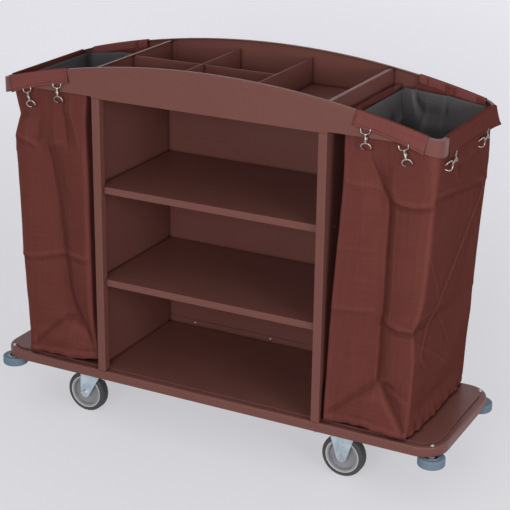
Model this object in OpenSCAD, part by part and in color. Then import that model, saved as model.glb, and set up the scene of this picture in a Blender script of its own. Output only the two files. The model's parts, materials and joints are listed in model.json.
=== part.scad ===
// Housekeeping cart: a folded-steel cabinet with two shelves and a divided tray on top,
// on a long base with four casters and four bumper wheels, and a fabric bag hung at each end.
// Millimetres, +Z up, front towards -Y, swivel casters at the -X end, fixed casters at the +X end.
// The origin is on the floor, under the middle of the cart.

/* [Base] */
// Length of the base
base_length = 1410; // [1360:5:1600]
// Depth of the base, and of the cabinet and the bag rim above it
base_depth = 438; // [400:2:520]
// Radius of the base's corners, seen from above
base_corner = 72; // [55:1:100]
// Height of the skirt round the base
base_skirt = 27; // [22:1:40]
// Radius of the rolled edge between skirt and deck
base_edge = 6; // [3:0.5:9]
// Width of the return folded in under the skirt
base_return = 21; // [20:1:35]
// Sheet thickness of the base
base_sheet = 2; // [1.2:0.1:2.5]
// Flat strip between the rolled edge and the raised floor
rim_strip = 13; // [12:0.5:20]
// Height of the raised floor above that strip
floor_raise = 5; // [3:0.5:10]

/* [Cabinet] */
// Width over the two side walls
cabinet_width = 712; // [600:2:780]
// Sheet thickness of the cabinet and the rim
cabinet_sheet = 1.5; // [0.8:0.1:2]
// Outside radius of the folds
fold_radius = 2.5; // [2.1:0.1:4]
// Height of the uprights, from the base to the arched panels
upright_height = 818; // [720:2:900]
// Width of an upright's face
upright_width = 25; // [20:1:40]
// Depth of an upright's fold
upright_return = 24; // [20:1:36]
// Width of the lip that ends an upright's fold
upright_lip = 12; // [8:1:16]
// Height of the lower shelf's top above the floor
lower_shelf_height = 280; // [150:5:350]
// Height of the upper shelf's top above the floor
upper_shelf_height = 558; // [420:5:640]
// Depth of the lip round a shelf
shelf_lip = 21; // [15:1:35]
// Return folded in under a shelf's front lip
shelf_lip_return = 9; // [6:1:16]
// How far a shelf's front stands back from the uprights' faces
shelf_setback = 14; // [8:1:19]
// Height of the strip along the foot of the back panel
foot_strip_height = 20; // [14:1:40]

/* [Tray] */
// Radius of the arched top edge
arch_radius = 2400; // [2000:10:3200]
// Height of the arched panels at their middle
arch_height = 110.5; // [100:0.5:150]
// Width of the edge folded in along the arch and the rim
panel_flange = 11; // [8:0.5:16]
// How much the panels' lower edge steps up outside the walls
panel_step = 5; // [2:0.5:12]
// Height of the tray floor's top above the panels' lower edge
tray_lift = 4; // [3:0.5:12]
// Edge folded in along the top of a side wall
wall_flange = 10; // [6:1:18]
// How far a side wall's top lies under the arch
wall_drop = 3; // [2:0.5:12]
// Width of the tabs that join a side wall to the arched panels
wall_tab = 20; // [12:1:30]
// Distance of the left cross divider from the middle
left_divider_x = 124; // [60:1:200]
// Distance of the right cross divider from the middle
right_divider_x = 107; // [60:1:200]
// How far the long divider's top lies under the cross dividers'
long_divider_drop = 4; // [0:0.5:10]
// Height of the doubled hem along a divider's top
hem_height = 10; // [6:1:20]

/* [Rim] */
// Length over the two end bands
rim_length = 1324; // [1260:2:1360]
// Radius of the rim's corners, seen from above
rim_corner = 40; // [20:1:70]
// Height of the band that forms the rim's ends
band_height = 42; // [34:1:60]
// Gap between a side wall and the bag rail beside it
rail_gap = 18; // [14:1:40]
// Thickness of a bag rail
rail_thickness = 5; // [3:0.5:10]
// Height of a bag rail
rail_height = 30; // [20:1:40]
// How far a bag rail's top lies under the arch
rail_drop = 40; // [25:1:50]

/* [Bags] */
// Thickness of a bag's cloth with its lining
bag_cloth = 2; // [1:0.1:3]
// Width of a bag at its bottom
bag_bottom_width = 258; // [200:2:280]
// Gap between a bag's bottom and the side wall
bag_wall_gap = 6; // [5:0.5:20]
// Height of a bag's bottom above the floor
bag_lift = 2.5; // [1:0.5:20]
// Length of straight bag below the end band
bag_neck = 10; // [4:1:40]
// Distance from a bag rail to the start of the front and rear flaps
flap_inner_margin = 61; // [40:1:110]
// Distance from the rim's end to the end of the front and rear flaps
flap_outer_margin = 35; // [20:1:70]
// Drop of a front or rear flap at its inner end
flap_inner_drop = 34; // [25:1:60]
// Drop of a front or rear flap at its outer end
flap_outer_drop = 38; // [30:1:70]
// Distance of the end flap's front end, and of the rail flap's ends, from the cabinet's front
end_flap_inset = 61; // [45:1:100]
// Distance of the end flap's rear end from the cabinet's rear
end_flap_rear_inset = 24; // [15:1:100]
// Drop of the end flap
end_flap_drop = 50; // [40:1:80]
// Drop of the flap over the bag rail
rail_flap_drop = 40; // [25:1:60]

/* [Snap hooks] */
// Width of a snap hook's eye
hook_eye_width = 25; // [18:0.5:32]
// Height of a snap hook's eye
hook_eye_height = 14; // [10:0.5:18]
// Diameter of a snap hook's wire
hook_wire = 3.2; // [2.4:0.1:4]
// Diameter of a snap hook's swivel barrel
hook_barrel = 7; // [6:0.5:10]
// Length of a snap hook's swivel barrel
hook_barrel_length = 26; // [16:0.5:32]
// Outside diameter of a snap hook's ring
hook_ring = 23; // [16:0.5:28]
// Distance of the inner hook from the flap's inner end
hook_inner_margin = 25; // [14:1:40]
// Distance of the outer hook from the flap's outer end
hook_outer_margin = 57; // [14:1:70]
// Distance of the end hooks from the end flap's front end, and the same at the rear
hook_end_margin = 38; // [14:1:60]

/* [Casters] */
// Diameter of the wheels
wheel_diameter = 125; // [100:1:150]
// Width of the tyres
wheel_width = 32; // [24:1:40]
// Depth of the tyre's rubber
tread_depth = 13.5; // [10:0.5:18]
// Distance of the caster plates from the middle, along the cart
caster_x = 402; // [300:2:480]
// Distance of the wheels' middle from the base's long edges
caster_inset = 79; // [74:1:95]
// Horizontal distance from the swivel axis to the axle
swivel_trail = 43; // [30:1:50]
// Length of a caster plate
caster_plate_length = 104; // [96:1:130]
// Thickness of a caster plate
caster_plate = 2.5; // [2:0.1:4]
// Sheet thickness of the forks and brackets
fork_sheet = 3; // [2:0.1:4]
// Gap between the tyre and a fork's leg
fork_gap = 2.5; // [1.5:0.5:5]
// Radius of a fork's rounded foot
fork_foot = 15; // [12.5:0.5:20]
// Radius of the swivel race
race_radius = 32; // [26:1:36]
// Height of the swivel race
race_height = 8; // [7:0.5:12]
// Gap between a wheel and the fork's crown
wheel_headroom = 14; // [10:1:30]
// Diameter of the axles
axle_diameter = 10; // [8:0.5:12]
// Diameter of the kingpins
kingpin_diameter = 12; // [10:0.5:16]
// Wall of the bush in a wheel
bush_wall = 3; // [2:0.5:5]
// Sheet thickness of the channels that carry the casters
channel_sheet = 3; // [2:0.1:5]
// Diameter of the caster bolts
caster_bolt = 8; // [6:0.5:10]

/* [Bumpers] */
// Diameter of the bumper wheels
bumper_diameter = 75; // [60:1:100]
// Height of the bumper wheels
bumper_height = 25; // [18:1:32]
// Diameter of a bumper wheel's hub
bumper_hub_diameter = 42; // [30:1:50]
// Height of the spacer above a bumper wheel
bumper_spacer_height = 5; // [3:0.5:12]
// Diameter of the bumper bolts
bumper_bolt = 8; // [6:0.5:10]

/* [Fasteners] */
// Diameter of the screws that hold the shelves and the foot strip
screw_diameter = 4; // [3:0.5:5]
// Diameter of those screws' heads
screw_head = 9; // [7:0.5:12]
// Distance of the shelf screws from the cabinet's front and rear
shelf_screw_inset = 64; // [45:1:120]
// Distance of the outer foot strip screws from the middle
strip_screw_x = 264; // [100:2:280]
// Diameter of the bolts under the walls
wall_bolt = 6; // [5:0.5:8]

/* [Clearances] */
// Gap between faces that move past each other
running_gap = 0.3; // [0.2:0.05:0.6]
// Radial clearance of a shaft in its bore
bore_clearance = 0.05; // [0.02:0.01:0.09]
// Radial clearance of a bolt or screw in its hole
hole_clearance = 0.3; // [0.2:0.05:0.5]
// Gap between the cloth and what it hangs on
cloth_gap = 0.4; // [0.3:0.05:1]
// Gap beside a sheet in a slot or notch
slot_gap = 0.3; // [0.2:0.05:0.6]
// Joint between the uprights and the arched panels
panel_gap = 1; // [0.5:0.1:2]

/* [Hidden] */
$fn = 64;
arc_fn = 1440;

// Colours
brown = [0.40, 0.25, 0.23];
dark_brown = [0.33, 0.20, 0.18];
cloth = [0.41, 0.20, 0.19];
zinc = [0.74, 0.79, 0.82];
nickel = [0.78, 0.76, 0.72];
hub_grey = [0.66, 0.66, 0.68];
tyre_grey = [0.28, 0.27, 0.28];
bumper_grey = [0.48, 0.57, 0.65];

// Bolt heads follow their bolt: width across corners, head height and nut height
head_over_bolt = 1.75;
head_height_share = 0.66;
nut_height_share = 0.8;
washer_thickness = 1.5;
screw_head_height = 2.4;
screw_length = 9;

// Stack of a caster, from the wheel up
crown_bottom = wheel_diameter + wheel_headroom;
crown_sheet = fork_sheet + 1;
crown_top = crown_bottom + crown_sheet;
race_bottom = crown_top + running_gap;
plate_bottom = race_bottom + race_height;
base_bottom = plate_bottom + caster_plate;
axle_z = wheel_diameter / 2;
fork_inner = wheel_width / 2 + fork_gap;
fork_outer = fork_inner + fork_sheet;
hub_radius = wheel_diameter / 2 - tread_depth;
caster_head = caster_bolt * head_over_bolt / 2;
caster_bolt_margin = caster_head + 3;
caster_bolt_y = fork_outer + caster_head + 1.5;
caster_bolt_x = caster_plate_length / 2 - caster_bolt_margin;
caster_plate_width = 2 * (caster_bolt_y + caster_bolt_margin);
channel_width = caster_plate_length + 8;

// Levels of the base
base_top = base_bottom + base_skirt;
floor_top = base_top + floor_raise;
floor_inset = base_edge + rim_strip;
half_depth = base_depth / 2;
caster_y = half_depth - caster_inset;
channel_half = half_depth - base_return - 1;

// Cabinet planes
wall_x = cabinet_width / 2;
inner_x = wall_x - cabinet_sheet;
upright_x = wall_x - upright_width;
panel_z = base_top + upright_height;
panel_inner_y = half_depth - cabinet_sheet;
back_outer_y = half_depth - upright_return;
back_y = back_outer_y - cabinet_sheet;
shelf_zs = [floor_top + lower_shelf_height, floor_top + upper_shelf_height];
shelf_screw_drop = shelf_lip * 0.65;
shelf_screw_y = half_depth - shelf_screw_inset;

// Arch, tray and rim
arch_peak = panel_z + arch_height;
arch_centre_z = arch_peak - arch_radius;
function arch_z(x) = arch_centre_z + sqrt(arch_radius * arch_radius - x * x);
rim_x = rim_length / 2;
band_x = rim_x - rim_corner;
wall_top = arch_z(wall_x) - wall_drop;
tray_floor_z = panel_z + tray_lift;
long_divider_top = wall_top - long_divider_drop;
slot_z = (tray_floor_z + long_divider_top) / 2;
hem_thickness = 2 * cabinet_sheet;
rail_x = wall_x + rail_gap;
rail_outer_x = rail_x + rail_thickness;
rail_top = arch_z(rail_outer_x) - rail_drop;

// Bags
cloth_out = cloth_gap + bag_cloth;
bag_y = half_depth - panel_flange - cloth_gap;
bag_top_x = [rail_outer_x + cloth_gap, rim_x - panel_flange - cloth_gap];
bag_bottom_x = [wall_x + bag_wall_gap, wall_x + bag_wall_gap + bag_bottom_width];
bag_bottom_z = floor_top + bag_lift;
neck_z = arch_z(rim_x) - band_height - bag_neck;
flap_x = [rail_outer_x + flap_inner_margin, rim_x - flap_outer_margin];
flap_z = [arch_z(flap_x[0]) - flap_inner_drop, arch_z(flap_x[1]) - flap_outer_drop];
function flap_edge_z(x) =
    flap_z[0] + (flap_z[1] - flap_z[0]) * (x - flap_x[0]) / (flap_x[1] - flap_x[0]);
end_flap_z = arch_z(rim_x) - end_flap_drop;
end_flap_y = [end_flap_inset - half_depth, half_depth - end_flap_rear_inset];
end_flap_top_y = min(end_flap_y[1], half_depth - rim_corner - cloth_gap);
rail_flap_half = half_depth - end_flap_inset;

// Snap hooks: the eye laps the flap by this much
hook_lap = 4;

// Bumper and bolt places
bumper_inset = base_corner - (floor_inset + base_edge) / 2;
bumper_x = base_length / 2 - base_corner + bumper_inset * cos(45);
bumper_y = half_depth - base_corner + bumper_inset * sin(45);
bumper_top = base_bottom - bumper_spacer_height;
bumper_bottom = bumper_top - bumper_height;
bumper_head = (rim_strip - 2 * running_gap) / 2;
wall_bolt_x = wall_x - upright_width / 2;
wall_bolt_y = half_depth - floor_inset / 2;
foot_plate = 2;

corners = [[-1, -1], [-1, 1], [1, -1], [1, 1]];

// Extrusion along Y of an outline drawn in X and Z
module along_y(y0, y1) {
    translate([0, y1, 0]) rotate([90, 0, 0]) linear_extrude(y1 - y0) children();
}

// Extrusion along X of an outline drawn in Y and Z
module along_x(x0, x1) {
    translate([x0, 0, 0]) rotate([90, 0, 90]) linear_extrude(x1 - x0) children();
}

// The same piece at the right end, or mirrored to the left end
module at_end(side) {
    if (side > 0) children();
    else mirror([1, 0, 0]) children();
}

// The same piece at the front, or mirrored to the rear
module at_face(side) {
    if (side < 0) children();
    else mirror([0, 1, 0]) children();
}

module rounded_rect(length, depth, radius) {
    square([length - 2 * radius, depth], center = true);
    square([length, depth - 2 * radius], center = true);
    for (c = corners)
        translate([c.x * (length / 2 - radius), c.y * (depth / 2 - radius)]) circle(radius);
}

// Outline of folded sheet: the points give its outer face, every fold turns left by a right angle,
// and the sheet lies on the left of the way along them
module folded(points, sheet, radius) {
    last = len(points) - 2;
    for (i = [0 : last]) {
        way = points[i + 1] - points[i];
        before = i == 0 ? 0 : radius;
        after = i == last ? 0 : radius;
        translate(points[i]) rotate(atan2(way.y, way.x)) {
            translate([before, 0]) square([norm(way) - before - after, sheet]);
            if (i > 0) translate([radius, radius]) intersection() {
                difference() {
                    circle(radius);
                    circle(radius - sheet);
                }
                translate([-radius, -radius]) square(radius);
            }
        }
    }
}

// Sweep of an edge profile round a rectangle with round corners. The profile's X is the distance
// from a corner's centre
module swept_edge(length, depth, radius) {
    for (k = [0 : 3]) {
        reach = (k % 2 == 0 ? length : depth) / 2 - radius;
        half = (k % 2 == 0 ? depth : length) / 2 - radius;
        rotate(90 * k) {
            translate([reach, 0, 0]) along_y(-half, half) children();
            translate([reach, half, 0]) rotate_extrude(angle = 90) children();
        }
    }
}

module hex_prism(diameter, height) {
    cylinder(d = diameter, h = height, $fn = 6);
}

// Bolt hanging head down from z = 0, with a nut at a height above its head's seat
module bolt_and_nut(diameter, grip, washer = 0) {
    head = diameter * head_height_share;
    translate([0, 0, -washer - head]) hex_prism(diameter * head_over_bolt, head);
    if (washer > 0) translate([0, 0, -washer]) cylinder(d = diameter * 2, h = washer);
    translate([0, 0, -head]) cylinder(d = diameter, h = head + grip + diameter);
    translate([0, 0, grip]) hex_prism(diameter * head_over_bolt, diameter * nut_height_share);
}

// Screw along +Z from its head's seat at z = 0, with a low domed head below
module screw() {
    sphere_r = (screw_head * screw_head / 4 + screw_head_height * screw_head_height) / (2 * screw_head_height);
    cylinder(d = screw_diameter, h = screw_length);
    intersection() {
        translate([0, 0, sphere_r - screw_head_height]) sphere(sphere_r);
        translate([0, 0, -screw_head_height]) cylinder(d = screw_head, h = screw_head_height);
    }
}

module screw_hole() {
    translate([0, 0, -screw_length]) cylinder(r = screw_diameter / 2 + hole_clearance, h = 2 * screw_length);
}

// Base

module base_profile() {
    edge_u = base_corner - base_edge;
    translate([edge_u, base_top - base_edge]) intersection() {
        difference() {
            circle(base_edge);
            circle(max(base_edge - base_sheet, 0.5));
        }
        square(base_edge);
    }
    translate([base_corner - base_sheet, base_bottom]) square([base_sheet, base_skirt - base_edge]);
    translate([base_corner - base_return, base_bottom]) square([base_return, base_sheet]);
    translate([base_corner - floor_inset, base_top - base_sheet]) square([rim_strip, base_sheet]);
    translate([base_corner - floor_inset - base_sheet, base_top - base_sheet])
        square([base_sheet, floor_raise + base_sheet]);
}

module floor_block(bottom, top) {
    translate([0, 0, bottom]) linear_extrude(top - bottom)
        rounded_rect(base_length - 2 * floor_inset, base_depth - 2 * floor_inset, base_corner - floor_inset);
}

module base_pan() {
    color(brown) difference() {
        union() {
            swept_edge(base_length, base_depth, base_corner) base_profile();
            floor_block(floor_top - base_sheet, floor_top);
        }
        for (c = corners) {
            translate([c.x * bumper_x, c.y * bumper_y, base_bottom - 1])
                cylinder(r = bumper_bolt / 2 + hole_clearance, h = base_skirt + 2);
            translate([c.x * wall_bolt_x, c.y * wall_bolt_y, base_bottom - 1])
                cylinder(r = wall_bolt / 2 + hole_clearance, h = base_skirt + 2);
        }
    }
}

module caster_channel(side) {
    top = floor_top - base_sheet;
    color(dark_brown) difference() {
        along_y(-channel_half, channel_half) translate([side * caster_x, 0])
            folded([[-channel_width / 2, top], [-channel_width / 2, base_bottom],
                    [channel_width / 2, base_bottom], [channel_width / 2, top]],
                   channel_sheet, channel_sheet + 2);
        for (y = [-caster_y, caster_y], c = corners)
            translate([side * caster_x + c.x * caster_bolt_x, y + c.y * caster_bolt_y, base_bottom - 1])
                cylinder(r = caster_bolt / 2 + hole_clearance, h = channel_sheet + 2);
    }
}

// Cabinet

module wall_plan() {
    folded([[upright_x + upright_lip, -back_outer_y], [upright_x, -back_outer_y], [upright_x, -half_depth],
            [wall_x, -half_depth], [wall_x, half_depth], [upright_x, half_depth],
            [upright_x, back_outer_y], [upright_x + upright_lip, back_outer_y]],
           cabinet_sheet, fold_radius);
}

module wall(side) {
    tab_z = tray_floor_z + slot_gap;
    color(brown) at_end(side) difference() {
        union() {
            translate([0, 0, base_top]) linear_extrude(upright_height - panel_gap) wall_plan();
            // Skin beside the tray, folded in along its top
            along_y(-panel_inner_y, panel_inner_y)
                folded([[wall_x, base_top + upright_height / 2], [wall_x, wall_top], [wall_x - wall_flange, wall_top]],
                       cabinet_sheet, fold_radius);
            for (y = [-panel_inner_y, panel_inner_y - cabinet_sheet]) {
                translate([wall_x - wall_tab, y, tab_z])
                    cube([wall_tab, cabinet_sheet, wall_top - fold_radius - tab_z]);
            }
            // Foot plates inside the uprights
            for (y = [-panel_inner_y, back_outer_y])
                translate([upright_x + cabinet_sheet / 2, y, base_top])
                    cube([upright_width - cabinet_sheet, upright_return - cabinet_sheet, foot_plate]);
        }
        floor_block(base_top - 1, floor_top);
        for (y = [-wall_bolt_y, wall_bolt_y])
            translate([wall_bolt_x, y, base_top - 1])
                cylinder(r = wall_bolt / 2 + hole_clearance, h = foot_plate + 2);
        for (z = shelf_zs, y = [-shelf_screw_y, shelf_screw_y])
            translate([wall_x, y, z - shelf_screw_drop]) rotate([0, -90, 0]) screw_hole();
    }
}

module back_panel() {
    color(dark_brown) difference() {
        translate([-inner_x, back_y, floor_top])
            cube([2 * inner_x, cabinet_sheet, tray_floor_z - cabinet_sheet - floor_top]);
        strip_screw_holes();
    }
}

module foot_strip() {
    color(brown) difference() {
        translate([-inner_x, back_y - cabinet_sheet, floor_top])
            cube([2 * inner_x, cabinet_sheet, foot_strip_height]);
        strip_screw_holes();
    }
}

module at_strip_screws() {
    for (x = [-strip_screw_x, 0, strip_screw_x])
        translate([x, back_y - cabinet_sheet, floor_top + foot_strip_height / 2]) rotate([-90, 0, 0]) children();
}

module strip_screw_holes() {
    at_strip_screws() screw_hole();
}

module shelf(top) {
    side_y = -back_outer_y + slot_gap;
    front_x = upright_x - slot_gap;
    front_y = -half_depth + shelf_setback;
    color(brown) difference() {
        union() {
            along_x(-front_x, front_x)
                folded([[side_y, top], [front_y, top], [front_y, top - shelf_lip],
                        [front_y + shelf_lip_return, top - shelf_lip]], cabinet_sheet, fold_radius);
            // Full-width part behind the uprights, with a lip along the walls and the back
            along_y(side_y, back_y)
                folded([[inner_x, top - shelf_lip], [inner_x, top], [-inner_x, top], [-inner_x, top - shelf_lip]],
                       cabinet_sheet, fold_radius);
            translate([-inner_x + cabinet_sheet, back_y - cabinet_sheet, top - shelf_lip])
                cube([2 * (inner_x - cabinet_sheet), cabinet_sheet, shelf_lip]);
        }
        for (side = [-1, 1], y = [-shelf_screw_y, shelf_screw_y])
            translate([side * wall_x, y, top - shelf_screw_drop]) rotate([0, -90 * side, 0]) screw_hole();
    }
}

// Tray

module tray_floor() {
    inner_radius = fold_radius - cabinet_sheet;
    color(dark_brown) along_x(-inner_x, inner_x) translate([0, panel_z]) difference() {
        rounded_rect(2 * panel_inner_y, 2 * tray_lift, fold_radius);
        rounded_rect(2 * (panel_inner_y - cabinet_sheet), 2 * (tray_lift - cabinet_sheet), inner_radius);
        translate([-base_depth, -2 * tray_lift]) square([2 * base_depth, 2 * tray_lift]);
    }
}

module arch_disc(radius) {
    translate([0, arch_centre_z]) circle(radius, $fn = arc_fn);
}

// Face of an arched panel below its folded edge, drawn in X and Z
module panel_outline() {
    tall = arch_height + band_height;
    intersection() {
        arch_disc(arch_radius - fold_radius);
        union() {
            translate([-wall_x, panel_z]) square([2 * wall_x, tall]);
            translate([-band_x, panel_z + panel_step]) square([2 * band_x, tall]);
            difference() {
                translate([-band_x, panel_z - band_height]) square([2 * band_x, 2 * tall]);
                arch_disc(arch_radius - band_height);
            }
        }
    }
}

module arch_panel(face) {
    spread = 2 * asin(band_x / arch_radius) + 2;
    color(brown) at_face(face) union() {
        along_y(-half_depth, -half_depth + cabinet_sheet) panel_outline();
        // Edge rolled in along the arch
        intersection() {
            translate([0, -half_depth, arch_centre_z]) rotate([-90, 0, 0]) rotate(-90 - spread / 2)
                rotate_extrude(angle = spread, $fn = arc_fn)
                    folded([[arch_radius - 2 * fold_radius, 0], [arch_radius, 0], [arch_radius, panel_flange]],
                           cabinet_sheet, fold_radius);
            translate([-band_x, -base_depth, panel_z - arch_height])
                cube([2 * band_x, 2 * base_depth, 3 * arch_height]);
        }
    }
}

// Plate with a doubled hem and a rounded top, drawn across its thickness from its foot at zero
module divider_profile(height) {
    translate([-cabinet_sheet / 2, 0]) square([cabinet_sheet, height - hem_thickness]);
    translate([-hem_thickness / 2, height - hem_height])
        square([hem_thickness, hem_height - hem_thickness / 2]);
    translate([0, height - hem_thickness / 2]) circle(d = hem_thickness);
}

module cross_divider(x, slotted) {
    color(brown) difference() {
        translate([x, 0, tray_floor_z]) along_y(-panel_inner_y, panel_inner_y)
            divider_profile(wall_top - tray_floor_z);
        if (slotted) translate([x, 0, slot_z + arch_height / 2])
            cube([4 * hem_thickness, hem_thickness + 2 * slot_gap, arch_height], center = true);
    }
}

module long_divider() {
    end_x = right_divider_x - hem_thickness / 2;
    color(brown) difference() {
        translate([0, 0, tray_floor_z]) along_x(-inner_x, end_x)
            divider_profile(long_divider_top - tray_floor_z);
        translate([-left_divider_x, 0, slot_z - arch_height / 2])
            cube([cabinet_sheet + 2 * slot_gap, 4 * hem_thickness, arch_height], center = true);
    }
}

// Rim

// Strip along the inside of the rim's outline, at the right end only, drawn in X and Y
module rim_plan(width) {
    intersection() {
        difference() {
            rounded_rect(rim_length, base_depth, rim_corner);
            rounded_rect(rim_length - 2 * width, base_depth - 2 * width, rim_corner - width);
        }
        translate([band_x, -base_depth]) square([rim_corner + 1, 2 * base_depth]);
    }
}

// The part of the children that lies between two heights under the arch
module under_arch(upper, lower) {
    intersection() {
        translate([0, 0, panel_z - arch_height]) linear_extrude(3 * arch_height) children();
        along_y(-base_depth, base_depth) difference() {
            arch_disc(arch_radius - upper);
            arch_disc(arch_radius - lower);
        }
    }
}

module end_band(side) {
    color(brown) at_end(side) union() {
        under_arch(0, band_height) rim_plan(cabinet_sheet);
        under_arch(0, cabinet_sheet) rim_plan(panel_flange);
    }
}

module bag_rail(side) {
    color(dark_brown) at_end(side) translate([rail_x, -panel_inner_y, rail_top - rail_height])
        cube([rail_thickness, 2 * panel_inner_y, rail_height]);
}

// Bags

// Cross-section of a bag in X and Z, drawn in by a wall and up to a given height
module bag_section(inset, top) {
    polygon([[bag_bottom_x[0] + inset, bag_bottom_z + inset], [bag_bottom_x[1] - inset, bag_bottom_z + inset],
             [bag_top_x[1] - inset, neck_z], [rim_length, neck_z], [rim_length, top],
             [bag_top_x[0] + inset, top], [bag_top_x[0] + inset, neck_z]]);
}

// Everything below the bag's mouth: it follows the arch, and falls to the rail beside the tray
module mouth_limit() {
    mouth_z = rail_top + cloth_out;
    intersection() {
        arch_disc(arch_radius + cloth_out);
        polygon([[0, 0], [rim_length, 0], [rim_length, 2 * arch_peak], [flap_x[0], 2 * arch_peak],
                 [flap_x[0], arch_z(flap_x[0]) + cloth_out], [bag_top_x[0] + bag_cloth, mouth_z], [0, mouth_z]]);
    }
}

module flap_outline() {
    intersection() {
        arch_disc(arch_radius + cloth_out);
        polygon([[flap_x[0], flap_z[0]], [flap_x[1], flap_z[1]], [flap_x[1], arch_peak], [flap_x[0], arch_peak]]);
    }
}

// Straight prism that rounds a bag's corners to pass inside the rim
module bag_corners(inset) {
    corner = rim_corner - panel_flange - cloth_gap - inset;
    translate([0, 0, -arch_peak]) linear_extrude(4 * arch_peak)
        rounded_rect(2 * (bag_top_x[1] - inset), 2 * (bag_y - inset), corner);
}

module bag(side) {
    outer_y = half_depth + cloth_out;
    color(cloth) at_end(side) union() {
        difference() {
            intersection() {
                along_y(-half_depth, half_depth) intersection() {
                    bag_section(0, arch_peak);
                    mouth_limit();
                }
                bag_corners(0);
            }
            intersection() {
                along_y(-half_depth, half_depth) bag_section(bag_cloth, 2 * arch_peak);
                bag_corners(bag_cloth);
            }
        }
        // Front and rear flaps over the arched panels
        for (face = [-1, 1]) at_face(face) {
            along_y(-outer_y, -outer_y + bag_cloth) flap_outline();
            along_y(-outer_y, -bag_y + bag_cloth) difference() {
                flap_outline();
                arch_disc(arch_radius + cloth_gap);
            }
        }
        // End flap over the end band
        translate([rim_x + cloth_gap, end_flap_y[0], end_flap_z])
            cube([bag_cloth, end_flap_y[1] - end_flap_y[0], arch_z(rim_x) + cloth_gap - end_flap_z]);
        under_arch(-cloth_out, -cloth_gap)
            translate([bag_top_x[1] - bag_cloth, end_flap_y[0]])
                square([rim_x + cloth_out - bag_top_x[1] + bag_cloth, end_flap_top_y - end_flap_y[0]]);
        // Flap over the bag rail
        translate([rail_x - cloth_out, -rail_flap_half, rail_top - rail_flap_drop])
            cube([bag_cloth, 2 * rail_flap_half, rail_flap_drop + cloth_out]);
        translate([rail_x - cloth_out, -rail_flap_half, rail_top + cloth_gap])
            cube([bag_top_x[0] + bag_cloth - rail_x + cloth_out, 2 * rail_flap_half, bag_cloth]);
    }
}

// Snap hook at the lower edge of a flap: the eye laps the flap's outer face, which faces -Y
module snap_hook() {
    wire_r = hook_wire / 2;
    eye_r = 3;
    eye_x = hook_eye_width / 2 - wire_r - eye_r;
    eye_low = hook_lap - hook_eye_height + wire_r;
    eye_high = hook_lap - wire_r;
    barrel_low = eye_low - hook_barrel_length;
    ring_r = hook_ring / 2 - wire_r;
    translate([0, -running_gap - wire_r, 0]) {
        // Eye: a flat loop of wire with round corners
        for (z = [eye_low, eye_high]) translate([-eye_x, 0, z]) rotate([0, 90, 0])
            cylinder(r = wire_r, h = 2 * eye_x);
        for (x = [-eye_x - eye_r, eye_x + eye_r]) translate([x, 0, eye_low + eye_r])
            cylinder(r = wire_r, h = eye_high - eye_low - 2 * eye_r);
        for (c = [[1, 1, 0], [-1, 1, 90], [-1, -1, 180], [1, -1, 270]])
            translate([c.x * eye_x, 0, c.y > 0 ? eye_high - eye_r : eye_low + eye_r]) rotate([90, 0, 0])
                rotate(c.z) rotate_extrude(angle = 90) translate([eye_r, 0]) circle(wire_r);
        // Swivel barrel and the ring below it
        translate([0, 0, barrel_low]) cylinder(d = hook_barrel, h = hook_barrel_length);
        translate([0, 0, barrel_low - ring_r]) rotate([90, 0, 0])
            rotate_extrude() translate([ring_r, 0]) circle(wire_r);
    }
}

module snap_hooks(side) {
    face_y = half_depth + cloth_out;
    end_y = rail_flap_half - hook_end_margin;
    color(nickel) at_end(side) {
        for (face = [-1, 1], x = [flap_x[0] + hook_inner_margin, flap_x[1] - hook_outer_margin])
            at_face(face) translate([x, -face_y, flap_edge_z(x)]) snap_hook();
        for (y = [-end_y, end_y])
            translate([rim_x + cloth_out, y, end_flap_z]) rotate(90) snap_hook();
    }
}

// Fasteners

module wall_bolts() {
    color(zinc) for (c = corners)
        translate([c.x * wall_bolt_x, c.y * wall_bolt_y, base_bottom])
            bolt_and_nut(wall_bolt, base_skirt + foot_plate, washer_thickness);
}

module shelf_screws() {
    color(zinc) for (side = [-1, 1], z = shelf_zs, y = [-shelf_screw_y, shelf_screw_y])
        translate([side * wall_x, y, z - shelf_screw_drop]) rotate([0, -90 * side, 0]) screw();
}

module strip_screws() {
    color(zinc) at_strip_screws() screw();
}

module caster_bolts() {
    color(zinc) for (x = [-caster_x, caster_x], y = [-caster_y, caster_y], c = corners)
        translate([x + c.x * caster_bolt_x, y + c.y * caster_bolt_y, plate_bottom])
            bolt_and_nut(caster_bolt, caster_plate + channel_sheet);
}

// Casters, each drawn about its swivel axis or plate centre

module caster_plate_blank() {
    corner = caster_bolt_margin / 2;
    difference() {
        translate([0, 0, plate_bottom]) linear_extrude(caster_plate)
            rounded_rect(caster_plate_length, caster_plate_width, corner);
        for (c = corners)
            translate([c.x * caster_bolt_x, c.y * caster_bolt_y, plate_bottom - 1])
                cylinder(r = caster_bolt / 2 + hole_clearance, h = caster_plate + 2);
    }
}

// Where a line from an outer point touches the round foot at the origin, on its left or right side
function touch_point(point, radius, side) =
    let (turn = atan2(point.y, point.x) + side * acos(radius / norm(point)))
    [radius * cos(turn), radius * sin(turn)];

// Leg that runs from its top edge to a round foot about the axle, drawn in X and Z from the axle
module leg_outline(left, right, top) {
    circle(fork_foot);
    polygon([[left, top], touch_point([left, top], fork_foot, 1), [0, 0],
             touch_point([right, top], fork_foot, -1), [right, top]]);
}

module leg_pair(axle_x, left, right, top) {
    difference() {
        for (y = [-fork_outer, fork_inner])
            along_y(y, y + fork_sheet) translate([axle_x, axle_z]) leg_outline(left, right, top - axle_z);
        translate([axle_x, fork_outer + 1, axle_z]) rotate([90, 0, 0])
            cylinder(r = axle_diameter / 2 + hole_clearance, h = 2 * fork_outer + 2);
    }
}

module fixed_bracket() {
    leg_half = caster_plate_length * 0.43;
    color(zinc) union() {
        caster_plate_blank();
        leg_pair(0, -leg_half, leg_half, plate_bottom);
    }
}

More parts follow.
